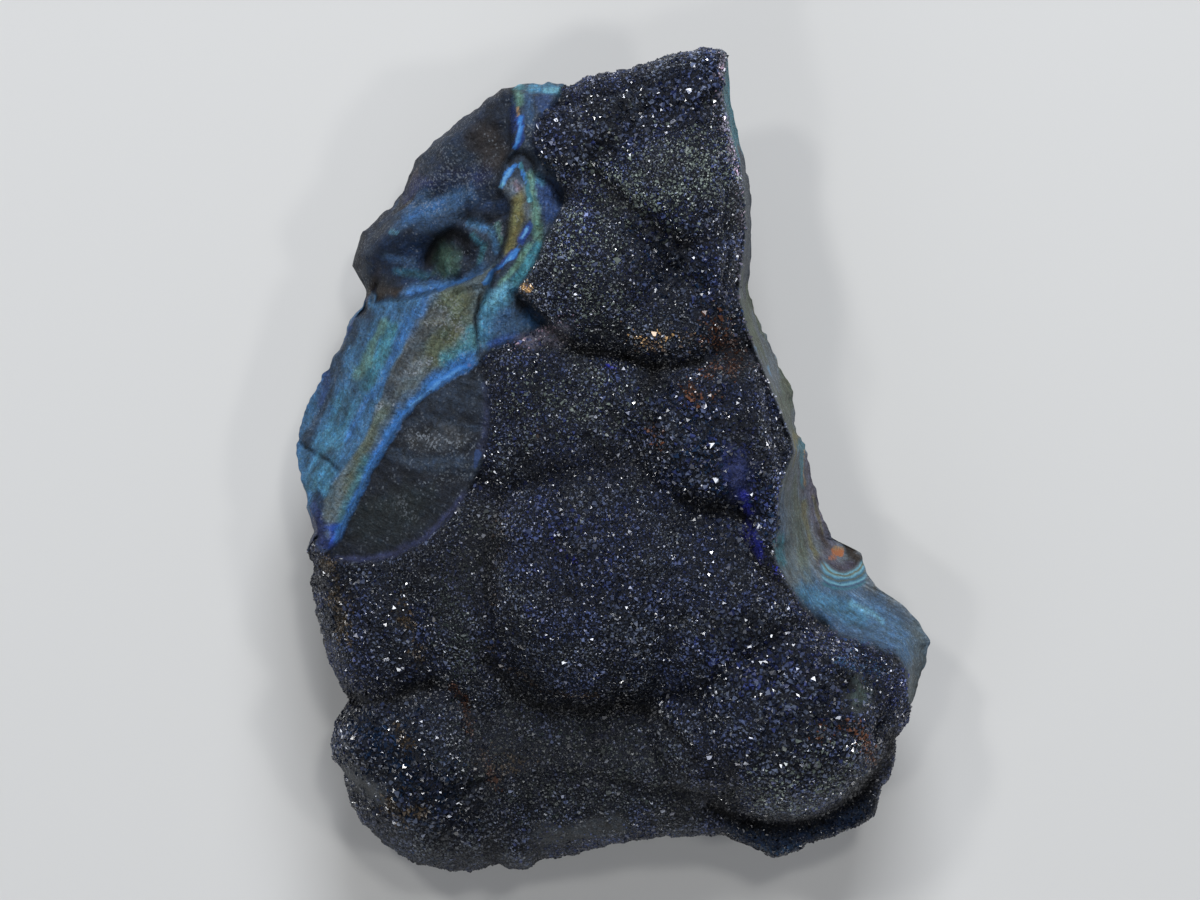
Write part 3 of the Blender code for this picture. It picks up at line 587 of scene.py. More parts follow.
# pale rings of growth on the lower side of the knob: radii in mm between which they run, the colours at
# places along that span, and how far they reach to each side of the knob
RING_CENTRE = (846, 556)
RING_SPAN = (1.4, 3.6)
RINGS = [(0.0, "plum"), (0.10, "steel"), (0.19, "turquoise"), (0.26, "khaki"), (0.35, "turquoise"),
         (0.43, "lagoon"), (0.49, "olive"), (0.58, "lagoon"), (0.67, "turquoise"), (0.75, "denim"),
         (0.86, "teal"), (1.0, "denim")]
RING_REACH = 2.6
RING_SQUEEZE = (0.85, 1.0, 1.0)  # the rings are a little wider than they are high

# the lightest of the plain druse crystals, where they are clean and where they are dusty
CLEAN_LIGHT, DUSTY_LIGHT = "#3f4a6e", "#5c6264"
VIOLET_SHARE = 0.04             # share of the crystals that are violet, where dust is middling
WIDEST = 0.55                   # mm, the largest size that a crystal is given
CLEAN_SHARE = 0.4               # share of the crystals whose faces are free of dust, outside the dull places
WALL_SHARE = 0.5                # how thickly the crystals that turn under the rim stand
# crystals of another colour: colour, share of the crystals there, half width, line
CRYSTAL_WASHES = [
    ("dust", 0.75, 4.2, [(635, 200), (700, 175)]), ("dust", 0.45, 3.4, [(580, 240), (600, 300)]),
    ("dust", 0.35, 4.0, [(530, 400), (600, 400)]), ("dust", 0.30, 3.0, [(760, 790), (830, 770)]),
    ("moss", 0.85, 4.5, [(500, 760), (590, 760)]),
    ("moss", 0.7, 2.2, [(470, 660), (450, 600), (480, 540)]),
    ("moss", 0.6, 3.0, [(620, 740), (680, 790)]), ("ash", 0.6, 1.6, [(420, 850), (520, 862)]),
    ("ash", 0.6, 1.2, [(545, 838), (616, 824)]), ("navy", 0.6, 2.6, [(350, 730), (440, 800)]),
    ("navy", 0.5, 3.0, [(700, 420), (750, 510)]), ("navy", 0.5, 3.0, [(650, 240), (715, 310)]),
    ("violet", 0.25, 3.5, [(700, 410), (745, 500)]), ("violet", 0.30, 3.0, [(540, 520), (600, 560)]),
    ("violet", 0.25, 3.0, [(655, 235), (715, 300)]), ("violet", 0.30, 3.0, [(720, 650), (800, 700)]),
    ("navy", 0.40, 3.5, [(370, 730), (440, 800)]), ("violet", 0.6, 1.4, [(738, 440), (746, 500)]),
    ("ultramarine", 0.9, 0.6, [(741, 492), (748, 512), (752, 532), (761, 552)]),
    ("ultramarine", 0.6, 0.5, [(761, 552), (780, 575)]),
    ("ultramarine", 0.5, 0.22, [(552, 540), (568, 553), (582, 562)]),
    ("iris", 0.35, 1.3, [(798, 612), (830, 640), (880, 662)]),
    ("violet", 0.5, 1.8, [(800, 622), (850, 655), (890, 690)]),
    ("denim", 0.75, 1.0, [(843, 662), (872, 668)]), ("ultramarine", 0.8, 0.3, [(608, 367), (614, 369)]),
    ("violet", 0.6, 0.5, [(530, 606), (542, 614)]),
    ("rust", 1.2, 1.4, [(712, 334), (724, 350), (732, 362)]),
    ("rust", 0.8, 0.7, [(704, 378), (716, 370)]), ("rust", 1.0, 0.9, [(686, 392), (706, 396)]),
    ("rust", 0.6, 0.7, [(652, 428), (659, 444)]), ("tan", 0.3, 0.8, [(632, 340), (684, 342)]),
    ("brown", 0.5, 0.8, [(640, 348), (700, 344)]), ("rust", 0.7, 0.7, [(822, 722), (852, 722)]),
    ("rust", 0.8, 0.8, [(862, 732), (874, 760)]), ("rust", 0.4, 0.4, [(812, 735), (820, 737)]),
    ("ochre", 0.9, 1.0, [(328, 566), (336, 600), (344, 636)]),
    ("ochre", 0.8, 0.7, [(404, 600), (410, 630), (420, 658)]),
    ("ochre", 0.9, 0.7, [(394, 726), (410, 744)]),
    ("ochre", 0.9, 1.0, [(388, 800), (400, 812), (420, 806)]),
    ("ochre", 1.1, 1.1, [(484, 758), (503, 772), (522, 762)]),
    ("rust", 0.9, 0.4, [(484, 750), (490, 770), (496, 786)]),
    ("rust", 1.4, 0.34, [(452, 685), (465, 700), (469, 720), (471, 734)]),
    ("brown", 0.8, 0.3, [(492, 645), (505, 662), (525, 677), (545, 690), (575, 696), (600, 693)]),
    ("brown", 0.35, 0.5, [(540, 430), (546, 470)]), ("brown", 0.35, 0.6, [(500, 520), (494, 600)]),
    ("mauve", 0.8, 0.45, [(722, 62), (716, 112), (728, 137), (740, 190), (742, 225), (738, 280)]),
    ("mauve", 0.5, 0.35, [(738, 300), (754, 350), (768, 390)]),
    ("rose", 0.15, 0.5, [(722, 62), (716, 112), (728, 137), (740, 190), (742, 225)]),
    ("iris", 0.6, 0.8, [(534, 160), (545, 172)]), ("tan", 0.8, 0.35, [(523, 287), (529, 290)]),
    ("rose", 0.55, 1.0, [(522, 338), (562, 330)]),
]
# how bright the crystals are: factor, half width, line. The dimming on the shelf under the corner mound is
# painted shade
CRYSTAL_BRIGHTNESS = [
    (1.9, 4.6, [(650, 185), (700, 175)]), (1.35, 4.0, [(585, 230), (600, 300)]),
    (1.3, 3.0, [(600, 130), (710, 85)]), (0.75, 3.4, [(655, 240), (710, 310)]),
    (1.8, 0.45, [(716, 112), (728, 137), (740, 190), (742, 225), (738, 280), (746, 320)]),
    (1.15, 4.0, [(530, 400), (610, 400)]), (0.75, 2.2, [(740, 845), (850, 835)]),
    (0.65, 5.0, [(500, 760), (680, 780)]), (1.3, 1.5, [(430, 852), (600, 838)]),
    (0.8, 3.0, [(640, 500), (740, 520)]), (0.85, 3.5, [(350, 590), (400, 660)]),
    (0.38, 3.6, [(360, 745), (440, 790)]), (0.2, 2.2, [(735, 842), (790, 848), (860, 822)]),
    (1.3, 1.5, [(690, 140), (715, 200)]), (1.2, 1.6, [(715, 800), (790, 815), (840, 790)]),
]
# where the crystals are larger, and where they are finest and dullest: strength, half width, line
COARSE = [
    (1.0, 5.0, [(740, 660), (800, 690)]), (0.7, 5.0, [(780, 740), (830, 740)]),
    (0.8, 4.0, [(680, 430), (740, 500)]), (0.95, 4.0, [(360, 740), (440, 800)]),
    (0.9, 2.6, [(575, 150), (640, 110), (720, 85)]), (0.6, 2.4, [(655, 240), (715, 310)]),
    (0.5, 3.0, [(560, 520), (640, 620)]), (0.5, 3.0, [(350, 600), (400, 650)]),
]
DULL = [
    (1.0, 5.5, [(500, 750), (600, 770)]), (0.9, 3.0, [(620, 740), (680, 800)]),
    (0.8, 2.0, [(470, 670), (450, 590), (485, 520)]), (1.2, 2.5, [(400, 845), (520, 855)]),
    (0.5, 3.0, [(570, 400), (620, 440)]), (0.6, 2.5, [(700, 170), (660, 160)]),
]
# where the crystals are cleanest and throw most glints: strength, half width, line
GLOSSY = [
    (1.0, 3.2, [(590, 140), (660, 105), (725, 85)]), (1.0, 3.4, [(360, 740), (400, 760), (440, 790)]),
    (0.7, 2.0, [(590, 150), (600, 190)]), (0.7, 2.5, [(650, 240), (700, 255)]),
    (0.6, 4.0, [(740, 660), (800, 700)]), (0.6, 2.0, [(380, 590), (395, 640)]),
    (0.8, 1.0, [(487, 395), (496, 460)]), (0.7, 3.0, [(530, 395), (630, 400)]),
    (0.8, 1.8, [(740, 845), (860, 828)]),
]
# bare places in the druse: share of the crystals missing, half width, line
BARE = [
    (0.97, 1.2, [(736, 462), (740, 490)]), (0.9, 0.4, [(742, 494), (747, 512), (749, 530), (759, 554)]),
    (0.95, 1.3, [(853, 684), (858, 700)]), (0.97, 1.0, [(345, 774), (375, 792)]),
    (0.9, 1.1, [(545, 838), (580, 834), (616, 824)]), (0.5, 0.8, [(526, 340), (562, 333)]),
]


def linear(code):
    """An sRGB hex colour as linear RGBA."""
    channels = np.array([int(code[k:k + 2], 16) for k in (1, 3, 5)]) / 255
    straight = np.where(channels <= 0.04045, channels / 12.92, ((channels + 0.055) / 1.055) ** 2.4)
    return (*straight.tolist(), 1.0)


def named(colour):
    """Linear RGB of a named colour."""
    return np.array(linear(COLOURS[colour])[:3])


def strongest(x, y, marks):
    """The strongest of some strokes (strength, half width, line) at each point, 0 to 1."""
    x, y = wander(x, y, 0)
    total = np.zeros(np.shape(x))
    for strength, width, line in marks:
        total = np.maximum(total, strength * np.exp(-(distance_to(x, y, line) / width) ** 2))
    return total


def weathered(x, y, z):
    """Colour of the old surface round the back: slate, stained olive, blue and brown."""
    turns = 0.5 + 0.9 * noise(x, y, z, 6.0, 71) + 0.4 * noise(x, y, z, 2.0, 72)
    colour = named("slate") + (named("denim") - named("slate")) * (0.25 * ramp(turns, 0.3, 1.0))[..., None]
    for name, strength, size, seed in STAINS:
        stain = noise(x, y, z, size, seed) + 0.5 * noise(x, y, z, size / 2, seed + 5)
        colour += (named(name) - colour) * (strength * ramp(stain, 0.0, 0.5))[..., None]
    return colour


def washed(x, y, z, faces):
    """Colour of the stone: each face's own colour laid by its share, then the washes, each with a border
    that noise makes ragged. On the steep parts, along the right face and down to the left rim, the washes
    are drawn aside by noise, so that none runs straight down."""
    ragged = 1 + 0.35 * noise(x, y, z, 0.9, 65) + 0.25 * noise(x, y, z, 2.4, 66)
    steep = faces["right"] * ramp(y, -8, 0)
    x, y = wander(x, y, z)
    rounded = (faces["flank"] + faces["upper left"]) * ramp(2.6 - faces["edge"], 0, 2.0)
    y = y + (steep + 0.7 * rounded) * (4.5 * noise(x, y, z, 5.0, 63) + 3.2 * noise(x, y, z, 2.2, 64))
    colour = np.zeros(np.shape(x) + (3,)) + named("pitch")
    for name, own in FACE_COLOURS.items():
        colour += (named(own) - colour) * faces[name][..., None]
    for face, marks in WASHES.items():
        for name, strength, width, line in marks:
            near = ramp(1.6 - distance_to(x, y, line) * ragged / width, 0, 1.2) * faces[face]
            colour += (named(name) - colour) * (strength * near)[..., None]
    return colour


def crisp(x, y, z, marks):
    """Lines whose edge the material draws sharp: a level that is 0.5 at the line's edge and falls by 1 a
    millimetre outwards, and the line's colour, with its strength as alpha."""
    x, y = wander(x, y, z)
    level, colour = np.zeros(np.shape(x)), np.zeros(np.shape(x) + (4,))
    uneven = 1 + 0.7 * noise(x, y, 0, 0.9, 69) + 0.3 * noise(x, y, 0, 0.4, 70)
    for name, strength, width, line in marks:
        here = np.clip(0.5 + width * uneven - distance_to(x, y, line), 0, 1)
        colour[(here > level) | (here > 0.5)] = (*named(name), strength)
        level = np.maximum(level, here)
    return level, colour


# ------------------------------------------------------------------ meshes

def make_mesh(name, points, corners, face_sizes, smooth, attributes, uv=None):
    """A mesh from arrays: points in mm, each face's corners one after another, and the faces' sizes.
    Attributes are one value a point; uv is one pair a point."""
    mesh = bpy.data.meshes.new(name)
    mesh.vertices.add(len(points))
    mesh.vertices.foreach_set("co", (points * METRE).astype(np.float32).ravel())
    mesh.loops.add(len(corners))
    mesh.loops.foreach_set("vertex_index", corners.astype(np.int32))
    mesh.polygons.add(len(face_sizes))
    starts = np.concatenate([[0], np.cumsum(face_sizes)[:-1]])
    mesh.polygons.foreach_set("loop_start", starts.astype(np.int32))
    mesh.update(calc_edges=True)
    mesh.polygons.foreach_set("use_smooth", np.full(len(face_sizes), smooth))
    for key, values in attributes.items():
        kind, field = ("FLOAT_COLOR", "color") if values.ndim > 1 else ("FLOAT", "value")
        layer = mesh.attributes.new(key, kind, "POINT")
        layer.data.foreach_set(field, values.astype(np.float32).ravel())
    if uv is not None:
        layer = mesh.uv_layers.new(name="grain")
        layer.data.foreach_set("uv", uv[corners].astype(np.float32).ravel())
    mesh.validate()
    made = bpy.data.objects.new(name, mesh)
    bpy.context.scene.collection.objects.link(made)
    return made


def evened(values, reach):
    """Values round the rim, each replaced by the mean over `reach` neighbours to each side."""
    return np.mean([np.roll(values, k, axis=0) for k in range(-reach, reach + 1)], axis=0)


def back_rows(rim):
    """Points from the rim down to the rest face, in rows that lie closer together near the rim. Each row is
    the rim drawn in towards the origin, and nowhere stands out beyond it. The inset grows with the 1.8th
    power of the way down, and noise bites chips out of it that are deepest halfway. The rim's fine chips
    die out within the first tenth of the way, and its larger teeth within the upper third."""
    turn, radius = np.arctan2(rim[:, 1], rim[:, 0]), np.hypot(rim[:, 0], rim[:, 1])
    fair = [evened(radius, reach) for reach in (12, 40)]
    level = evened(rim[:, 2], RIM_REACH)
    foot = 3.2 + 0.2 * level + 1.6 * noise(7 * np.cos(turn), 7 * np.sin(turn), 0, 2.6, 41)
    rows = []
    for row in range(1, BACK_ROWS + 1):
        down = (row / BACK_ROWS) ** 1.4
        belly = np.sin(np.pi * down)
        z = (rim[:, 2] + (level - rim[:, 2]) * ramp(down, 0, 0.25)) * (1 - down)
        chip = 1.1 * noise(rim[:, 0], rim[:, 1], 9 * down, 4.0, 42)
        ridges = 0.5 - np.abs(noise(rim[:, 0], rim[:, 1], z, 3.2, 43))
        rough = 0.9 * ridges + 0.6 * noise(rim[:, 0], rim[:, 1], z, 2.4, 44)
        inset = foot * down ** 1.8 + np.clip(0.3 + chip + rough, 0, None) * belly ** 0.8
        reach = radius + (fair[0] - radius) * ramp(down, 0, 0.1)
        reach = reach + (fair[1] - fair[0]) * ramp(down, 0.02, 0.3)
        reach = np.minimum(reach - inset, radius)
        rows.append(np.stack([np.cos(turn) * reach, np.sin(turn) * reach, z], -1))
    return rows


def turned_under(points, rim, low, high):
    """0 near the rim and 1 farther down the back, with a ragged border between the two depths in mm.
    The points lie in rows, and a depth is taken from the rim's evened height. Right at the rim it is 0."""
    level = np.tile(evened(rim[:, 2], RIM_REACH), BACK_ROWS)
    depth = level - points[:, 2] + 3.6 * noise(*points.T, 5.0, 78) + 2.2 * noise(*points.T, 1.6, 79)
    return ramp(depth, low, high) * ramp(np.tile(rim[:, 2], BACK_ROWS) - points[:, 2], 0, 1.6)


def stone_surface():
    """The stone: the upper grid, rows of cells round the back and the flat rest face, with the markings
    as attributes, and uv that runs along and across each face's grain."""
    x, y, edge = plan_grid(CRUST_CELLS)
    z, faces = height_field(x, y, edge)
    grid = np.stack([x, y, z], -1)
    side = CRUST_CELLS + 1
    index = np.arange(side * side).reshape(side, side)
    quads = np.stack([index[:-1, :-1], index[1:, :-1], index[1:, 1:], index[:-1, 1:]], -1).reshape(-1, 4)

    loop = rim_loop(CRUST_CELLS)
    flat = grid.reshape(-1, 3)
    rows = back_rows(flat[loop])
    numbers = [loop] + [np.arange(len(loop)) + len(flat) + k * len(loop) for k in range(BACK_ROWS)]
    pairs = zip(numbers[:-1], numbers[1:])
    walls = [np.stack([a, b, np.roll(b, -1), np.roll(a, -1)], -1) for a, b in pairs]
    quads = np.concatenate([quads] + walls)
    points = np.concatenate([flat] + rows)
    corners = np.concatenate([quads.ravel(), numbers[-1][::-1]])
    sizes = np.concatenate([np.full(len(quads), 4), [len(loop)]])
    middle = (points[:, :2].min(axis=0) + points[:, :2].max(axis=0)) / 2
    points[:, :2] -= middle

    veins, vein_colour = crisp(x, y, z, VEINS)
    lights, light_colour = crisp(x, y, z, HIGHLIGHTS)
    (cx, cy), = on_sheet(RING_CENTRE)
    open_side = ramp(RING_REACH - np.abs(x - cx), 0, 0.6) * ramp(cy - y, 0.3, 1.0)
    wash = np.concatenate([washed(x, y, z, faces), np.ones(x.shape + (1,))], -1)
    marks = {
        "wash": wash.reshape(-1, 4), "vein": veins.ravel(), "vein_colour": vein_colour.reshape(-1, 4),
        "light": lights.ravel(), "light_colour": light_colour.reshape(-1, 4), "ring": open_side.ravel(),
        "frost": strongest(x, y, FROST).ravel(),
        "shade": faces["shade"].ravel(), "druse": faces["druse"].ravel(),
    }
    backs = np.concatenate(rows)
    back = {key: np.zeros((len(backs),) + values.shape[1:]) for key, values in marks.items()}
    at_rim = marks["wash"][loop]
    near_rim = np.tile(evened(at_rim, 2 * RIM_REACH), (BACK_ROWS, 1))
    at_rim = np.tile(at_rim, (BACK_ROWS, 1))
    early = turned_under(backs, flat[loop], *EVEN_DEPTHS)[:, None]
    under = turned_under(backs, flat[loop], *OLD_DEPTHS)[:, None]
    old = np.column_stack([weathered(*backs.T), np.ones(len(backs))])
    back["wash"] = (at_rim * (1 - early) + near_rim * early) * (1 - under) + old * under
    back["druse"] = np.tile(marks["druse"][loop], BACK_ROWS) * (1 - under[:, 0])
    marks = {key: np.concatenate([values, back[key]]) for key, values in marks.items()}

    # along and across the grain of each face
    bend = 1.1 * noise(x, y, 0, 3.2, 67) + 0.4 * noise(x, y, 0, 1.4, 68)
    u = faces["right"] * y + faces["flank"] * faces["along"] + faces["seam"] * y
    u = u + faces["disc"] * (x - 0.3 * y)
    u = u + faces["upper left"] * (0.92 * x + 0.39 * y)
    v = faces["right"] * (faces["right depth"] - z) + faces["flank"] * faces["beyond"]
    v = v + faces["seam"] * x * 1.3
    v = v + faces["disc"] * (0.9 * y + 0.3 * x + 0.8 * bend)
    v = v + faces["upper left"] * (0.92 * y - 0.39 * x + bend) * 0.8
    round_back = np.tile(2.5 * np.arctan2(flat[loop, 1], flat[loop, 0]) * 36, BACK_ROWS)
    back_uv = np.stack([round_back, 0.6 * backs[:, 2]], -1)
    uv = np.concatenate([np.stack([u.ravel(), v.ravel()], -1), back_uv])
    made = make_mesh("stone", points, corners, sizes, True, marks, uv)
    wall = np.concatenate([flat[loop][None], np.array(rows)])
    return made, grid, np.concatenate([wall, wall[:, :1]], axis=1), faces, middle


def rise(grid):
    """How far the surface stands above its surroundings, in mm: its height less the mean height over a
    window of cells, taken as differences of a running sum along each direction in turn."""
    mean, window = grid[:, :, 2], 2 * RISE_CELLS + 1
    for direction in (0, 1):
        margins = [(0, 0), (0, 0)]
        margins[direction] = (RISE_CELLS + 1, RISE_CELLS)
        total = np.cumsum(np.pad(mean, margins, mode="edge"), axis=direction)
        ahead = np.take(total, np.arange(window, total.shape[direction]), axis=direction)
        behind = np.take(total, np.arange(0, total.shape[direction] - window), axis=direction)
        mean = (ahead - behind) / window
    return grid[:, :, 2] - mean


def crystal_bodies(kind, root, axis, size, steep, rng):
    """Points of crystals of one kind. All stand on a three-cornered base; a block has a slanted
    three-cornered top and a splinter ends in a point that leans aside."""
    count = len(root)
    across = np.cross(axis, rng.normal(0, 1, (count, 3)))
    across /= np.linalg.norm(across, axis=1, keepdims=True)
    aside = np.cross(axis, across)
    long_side = size * rng.uniform(0.55, 0.85, (count, 1))
    short_side = size * rng.uniform(0.45, 0.75, (count, 1))
    tall = size * rng.uniform(0.15, 0.70, (count, 1)) * (1 - 0.5 * steep)
    slant = rng.uniform(-0.5, 0.5, (2, count, 1))
    taper = rng.uniform(0.30, 0.8, (count, 1))
    body = []
    corners = [(across * long_side * np.cos(angle), aside * short_side * np.sin(angle))
               for angle in np.radians(BASE_TURNS)]
    for sideways, endways in corners:
        body.append(root + sideways + endways - axis * 0.35 * size)
    if kind == "splinter":
        lean = across * slant[0] * long_side + aside * slant[1] * short_side
        body.append(root + 1.2 * lean + axis * tall)
        return np.stack(body, 1)
    for (sideways, endways), angle in zip(corners, np.radians(BASE_TURNS)):
        lift = tall * (1 + slant[0] * np.cos(angle) + slant[1] * np.sin(angle))
        body.append(root + taper * (sideways + endways) + axis * lift)
    return np.stack(body, 1)


def crystal_colours(kind, x, y, rng):
    """Colour of each crystal: dark to light at random, towards clean or dusty in patches; then a share of
    them takes a wash's colour."""
    count = len(x)
    dusty = 0.5 + 0.8 * noise(x, y, 0, 3.2, 90) + 0.6 * noise(x, y, 0, 1.2, 91)
    dusty = np.clip(dusty + 0.6 * strongest(x, y, DULL), 0, 1)
    dusty *= 0.5 if kind == "block" else 1.0
    clean, coated = (np.array(linear(code)[:3]) for code in (CLEAN_LIGHT, DUSTY_LIGHT))
    light = clean * (1 - dusty[:, None]) + coated * dusty[:, None]
    tone = rng.uniform(0, 1, (count, 1)) ** 1.8
    hue = named("pitch") + (light - named("pitch")) * tone
    violet = rng.uniform(0, 1, count) < VIOLET_SHARE * (1.6 - dusty)
    hue[violet] = named("violet") * rng.uniform(0.4, 1.0, (violet.sum(), 1))
    patchy = 0.75 + 0.7 * noise(x, y, 0, 1.3, 85) + 0.4 * noise(x, y, 0, 0.6, 86)
    for name, part, half_width, line in CRYSTAL_WASHES:
        near = np.exp(-(distance_to(x, y, line) / half_width) ** 2)
        hit = rng.uniform(0, 1, count) < part * near * patchy
        hue[hit] = named(name) * rng.uniform(0.45, 1.3, (hit.sum(), 1))
    bright = np.full(count, 1.0)
    for factor, half_width, line in CRYSTAL_BRIGHTNESS:
        bright += (factor - bright) * np.exp(-(distance_to(x, y, line) / half_width) ** 2)
    bright *= 0.95 + 0.42 * noise(x, y, 0, 4.2, 88) + 0.42 * noise(x, y, 0, 1.5, 89)
    return hue * bright[:, None]


def druse_crystals(grid, wall, faces, middle):
    """The druse: crystals of two kinds, each tilted and turned at random. They are dealt out along the
    rows of the upper grid, then of the wall, in equal steps of area over width squared."""
    rng = np.random.default_rng(CRYSTAL_SEED)
    a, b, c, d = (np.concatenate([grid[i:i + CRUST_CELLS, j:j + CRUST_CELLS].reshape(-1, 3),
                                  wall[i:i + BACK_ROWS, j:j + 4 * CRUST_CELLS].reshape(-1, 3)])
                  for i, j in ((0, 0), (1, 0), (1, 1), (0, 1)))
    normal = np.cross(c - a, d - b)
    area = np.linalg.norm(normal, axis=1) / 2
    normal = normal / (2 * area[:, None])
    x, y = ((a + c) / 2).T[:2]
    coarse = strongest(x, y, COARSE)
    druse, shade = (((faces[key][:-1, :-1] + faces[key][1:, 1:]) / 2).ravel() for key in ("druse", "shade"))
    rim, walls = wall[0, :-1], (a + c)[len(druse):] / 2
    bare = turned_under(walls, rim, *BARE_DEPTHS)
    around = np.tile(faces["druse"].ravel()[rim_loop(CRUST_CELLS)], BACK_ROWS) * WALL_SHARE * (1 - bare)
    covered = area * np.concatenate([druse ** 2, around]) * (1 - strongest(x, y, BARE))
    shade = np.concatenate([shade, np.zeros(len(walls))])
    # painted light and shade: crystals are lightened where the surface stands above its surroundings and
    # darkened where it lies below them
    painted_relief_light = np.clip(1 + 0.60 * rise(grid)[:-1, :-1].ravel(), 0.35, 1.8)
    painted_relief_light = np.concatenate([painted_relief_light, np.ones(len(walls))])

    made = []
    for kind, (count, pieces, fine, wider, share_coarse, share_fine) in KINDS.items():
        width = fine + wider * coarse + 0.02 * noise(x, y, 0, 4.0, 81)
        weight = np.cumsum(covered * (share_fine + (share_coarse - share_fine) * coarse) / width ** 2)
        cell = np.searchsorted(weight, (np.arange(count) + rng.uniform(0, 1, count)) * weight[-1] / count)
        cell = np.clip(cell, 0, len(area) - 1)
        s, t = rng.uniform(0, 1, (2, count, 1))
        corner = [p[cell] for p in (a, b, c, d)]
        root = corner[0] * (1 - s) * (1 - t) + corner[1] * s * (1 - t)
        root = root + corner[2] * s * t + corner[3] * (1 - s) * t
        steep = 1 - np.clip(normal[cell, 2:], 0, 1)
        axis = normal[cell] + rng.normal(0, 0.40, (count, 3)) * (1 - 0.5 * steep)
        axis /= np.linalg.norm(axis, axis=1, keepdims=True)
        size = np.minimum(width[cell] * np.exp(rng.normal(0, 0.28, count)), WIDEST)[:, None]
        points = crystal_bodies(kind, root, axis, size, steep, rng)
        body_faces, face_sizes = BODY_FACES[kind]
        points[:, :, :2] -= middle

        fx, fy = wander(*root.T)
        # painted shade: crystals along the creases are darkened, and the same mask makes them duller
        painted_crease_shade = shade[cell]
        hue = crystal_colours(kind, fx, fy, rng) * (painted_relief_light[cell] * (1 - 0.85 * painted_crease_shade))[:, None]
        dull = strongest(fx, fy, DULL) + 0.9 * painted_crease_shade + 0.25 * noise(fx, fy, 0, 1.8, 87)
        dull = dull + 0.25 * (kind == "splinter")
        clean = rng.uniform(0, 1, count) < CLEAN_SHARE * (1 - 0.8 * strongest(fx, fy, DULL))
        dull = dull - 0.5 * strongest(fx, fy, GLOSSY) - 0.45 * clean
        fields = {"hue": np.column_stack([hue, np.ones(count)]), "dull": np.clip(dull, -0.5, 1)}
        for some in np.array_split(np.arange(count), pieces):
            corners = (np.arange(len(some))[:, None] * points.shape[1] + np.array(body_faces)).ravel()
            values = {key: np.repeat(value[some], points.shape[1], axis=0) for key, value in fields.items()}
            made.append(make_mesh(f"druse_{len(made) + 1}", points[some].reshape(-1, 3), corners,
                                  np.tile(face_sizes, len(some)), False, values))
    return made


# ------------------------------------------------------------------ materials

def node(tree, kind, inputs=(), **settings):
    """Adds a node. Settings are its properties. Inputs are values or other nodes' outputs: a row of them
    for its first sockets, or a dict from a socket's name or number."""
    made = tree.nodes.new(kind)
    for key, value in settings.items():
        setattr(made, key, value)
    for key, value in inputs.items() if isinstance(inputs, dict) else enumerate(inputs):
        socket = made.inputs[key]
        if isinstance(value, bpy.types.NodeSocket):
            tree.links.new(value, socket)
        else:
            socket.default_value = value
    return made


def start_material(name):
    """A material with only its Principled shader and output: (material, node tree, shader)."""
    made = bpy.data.materials.new(name)
    made.use_nodes = True
    return made, made.node_tree, made.node_tree.nodes["Principled BSDF"]


def per_mm(size):
    """Noise scale for features of that size in mm, on coordinates in metres."""
    return 1 / (size * METRE)


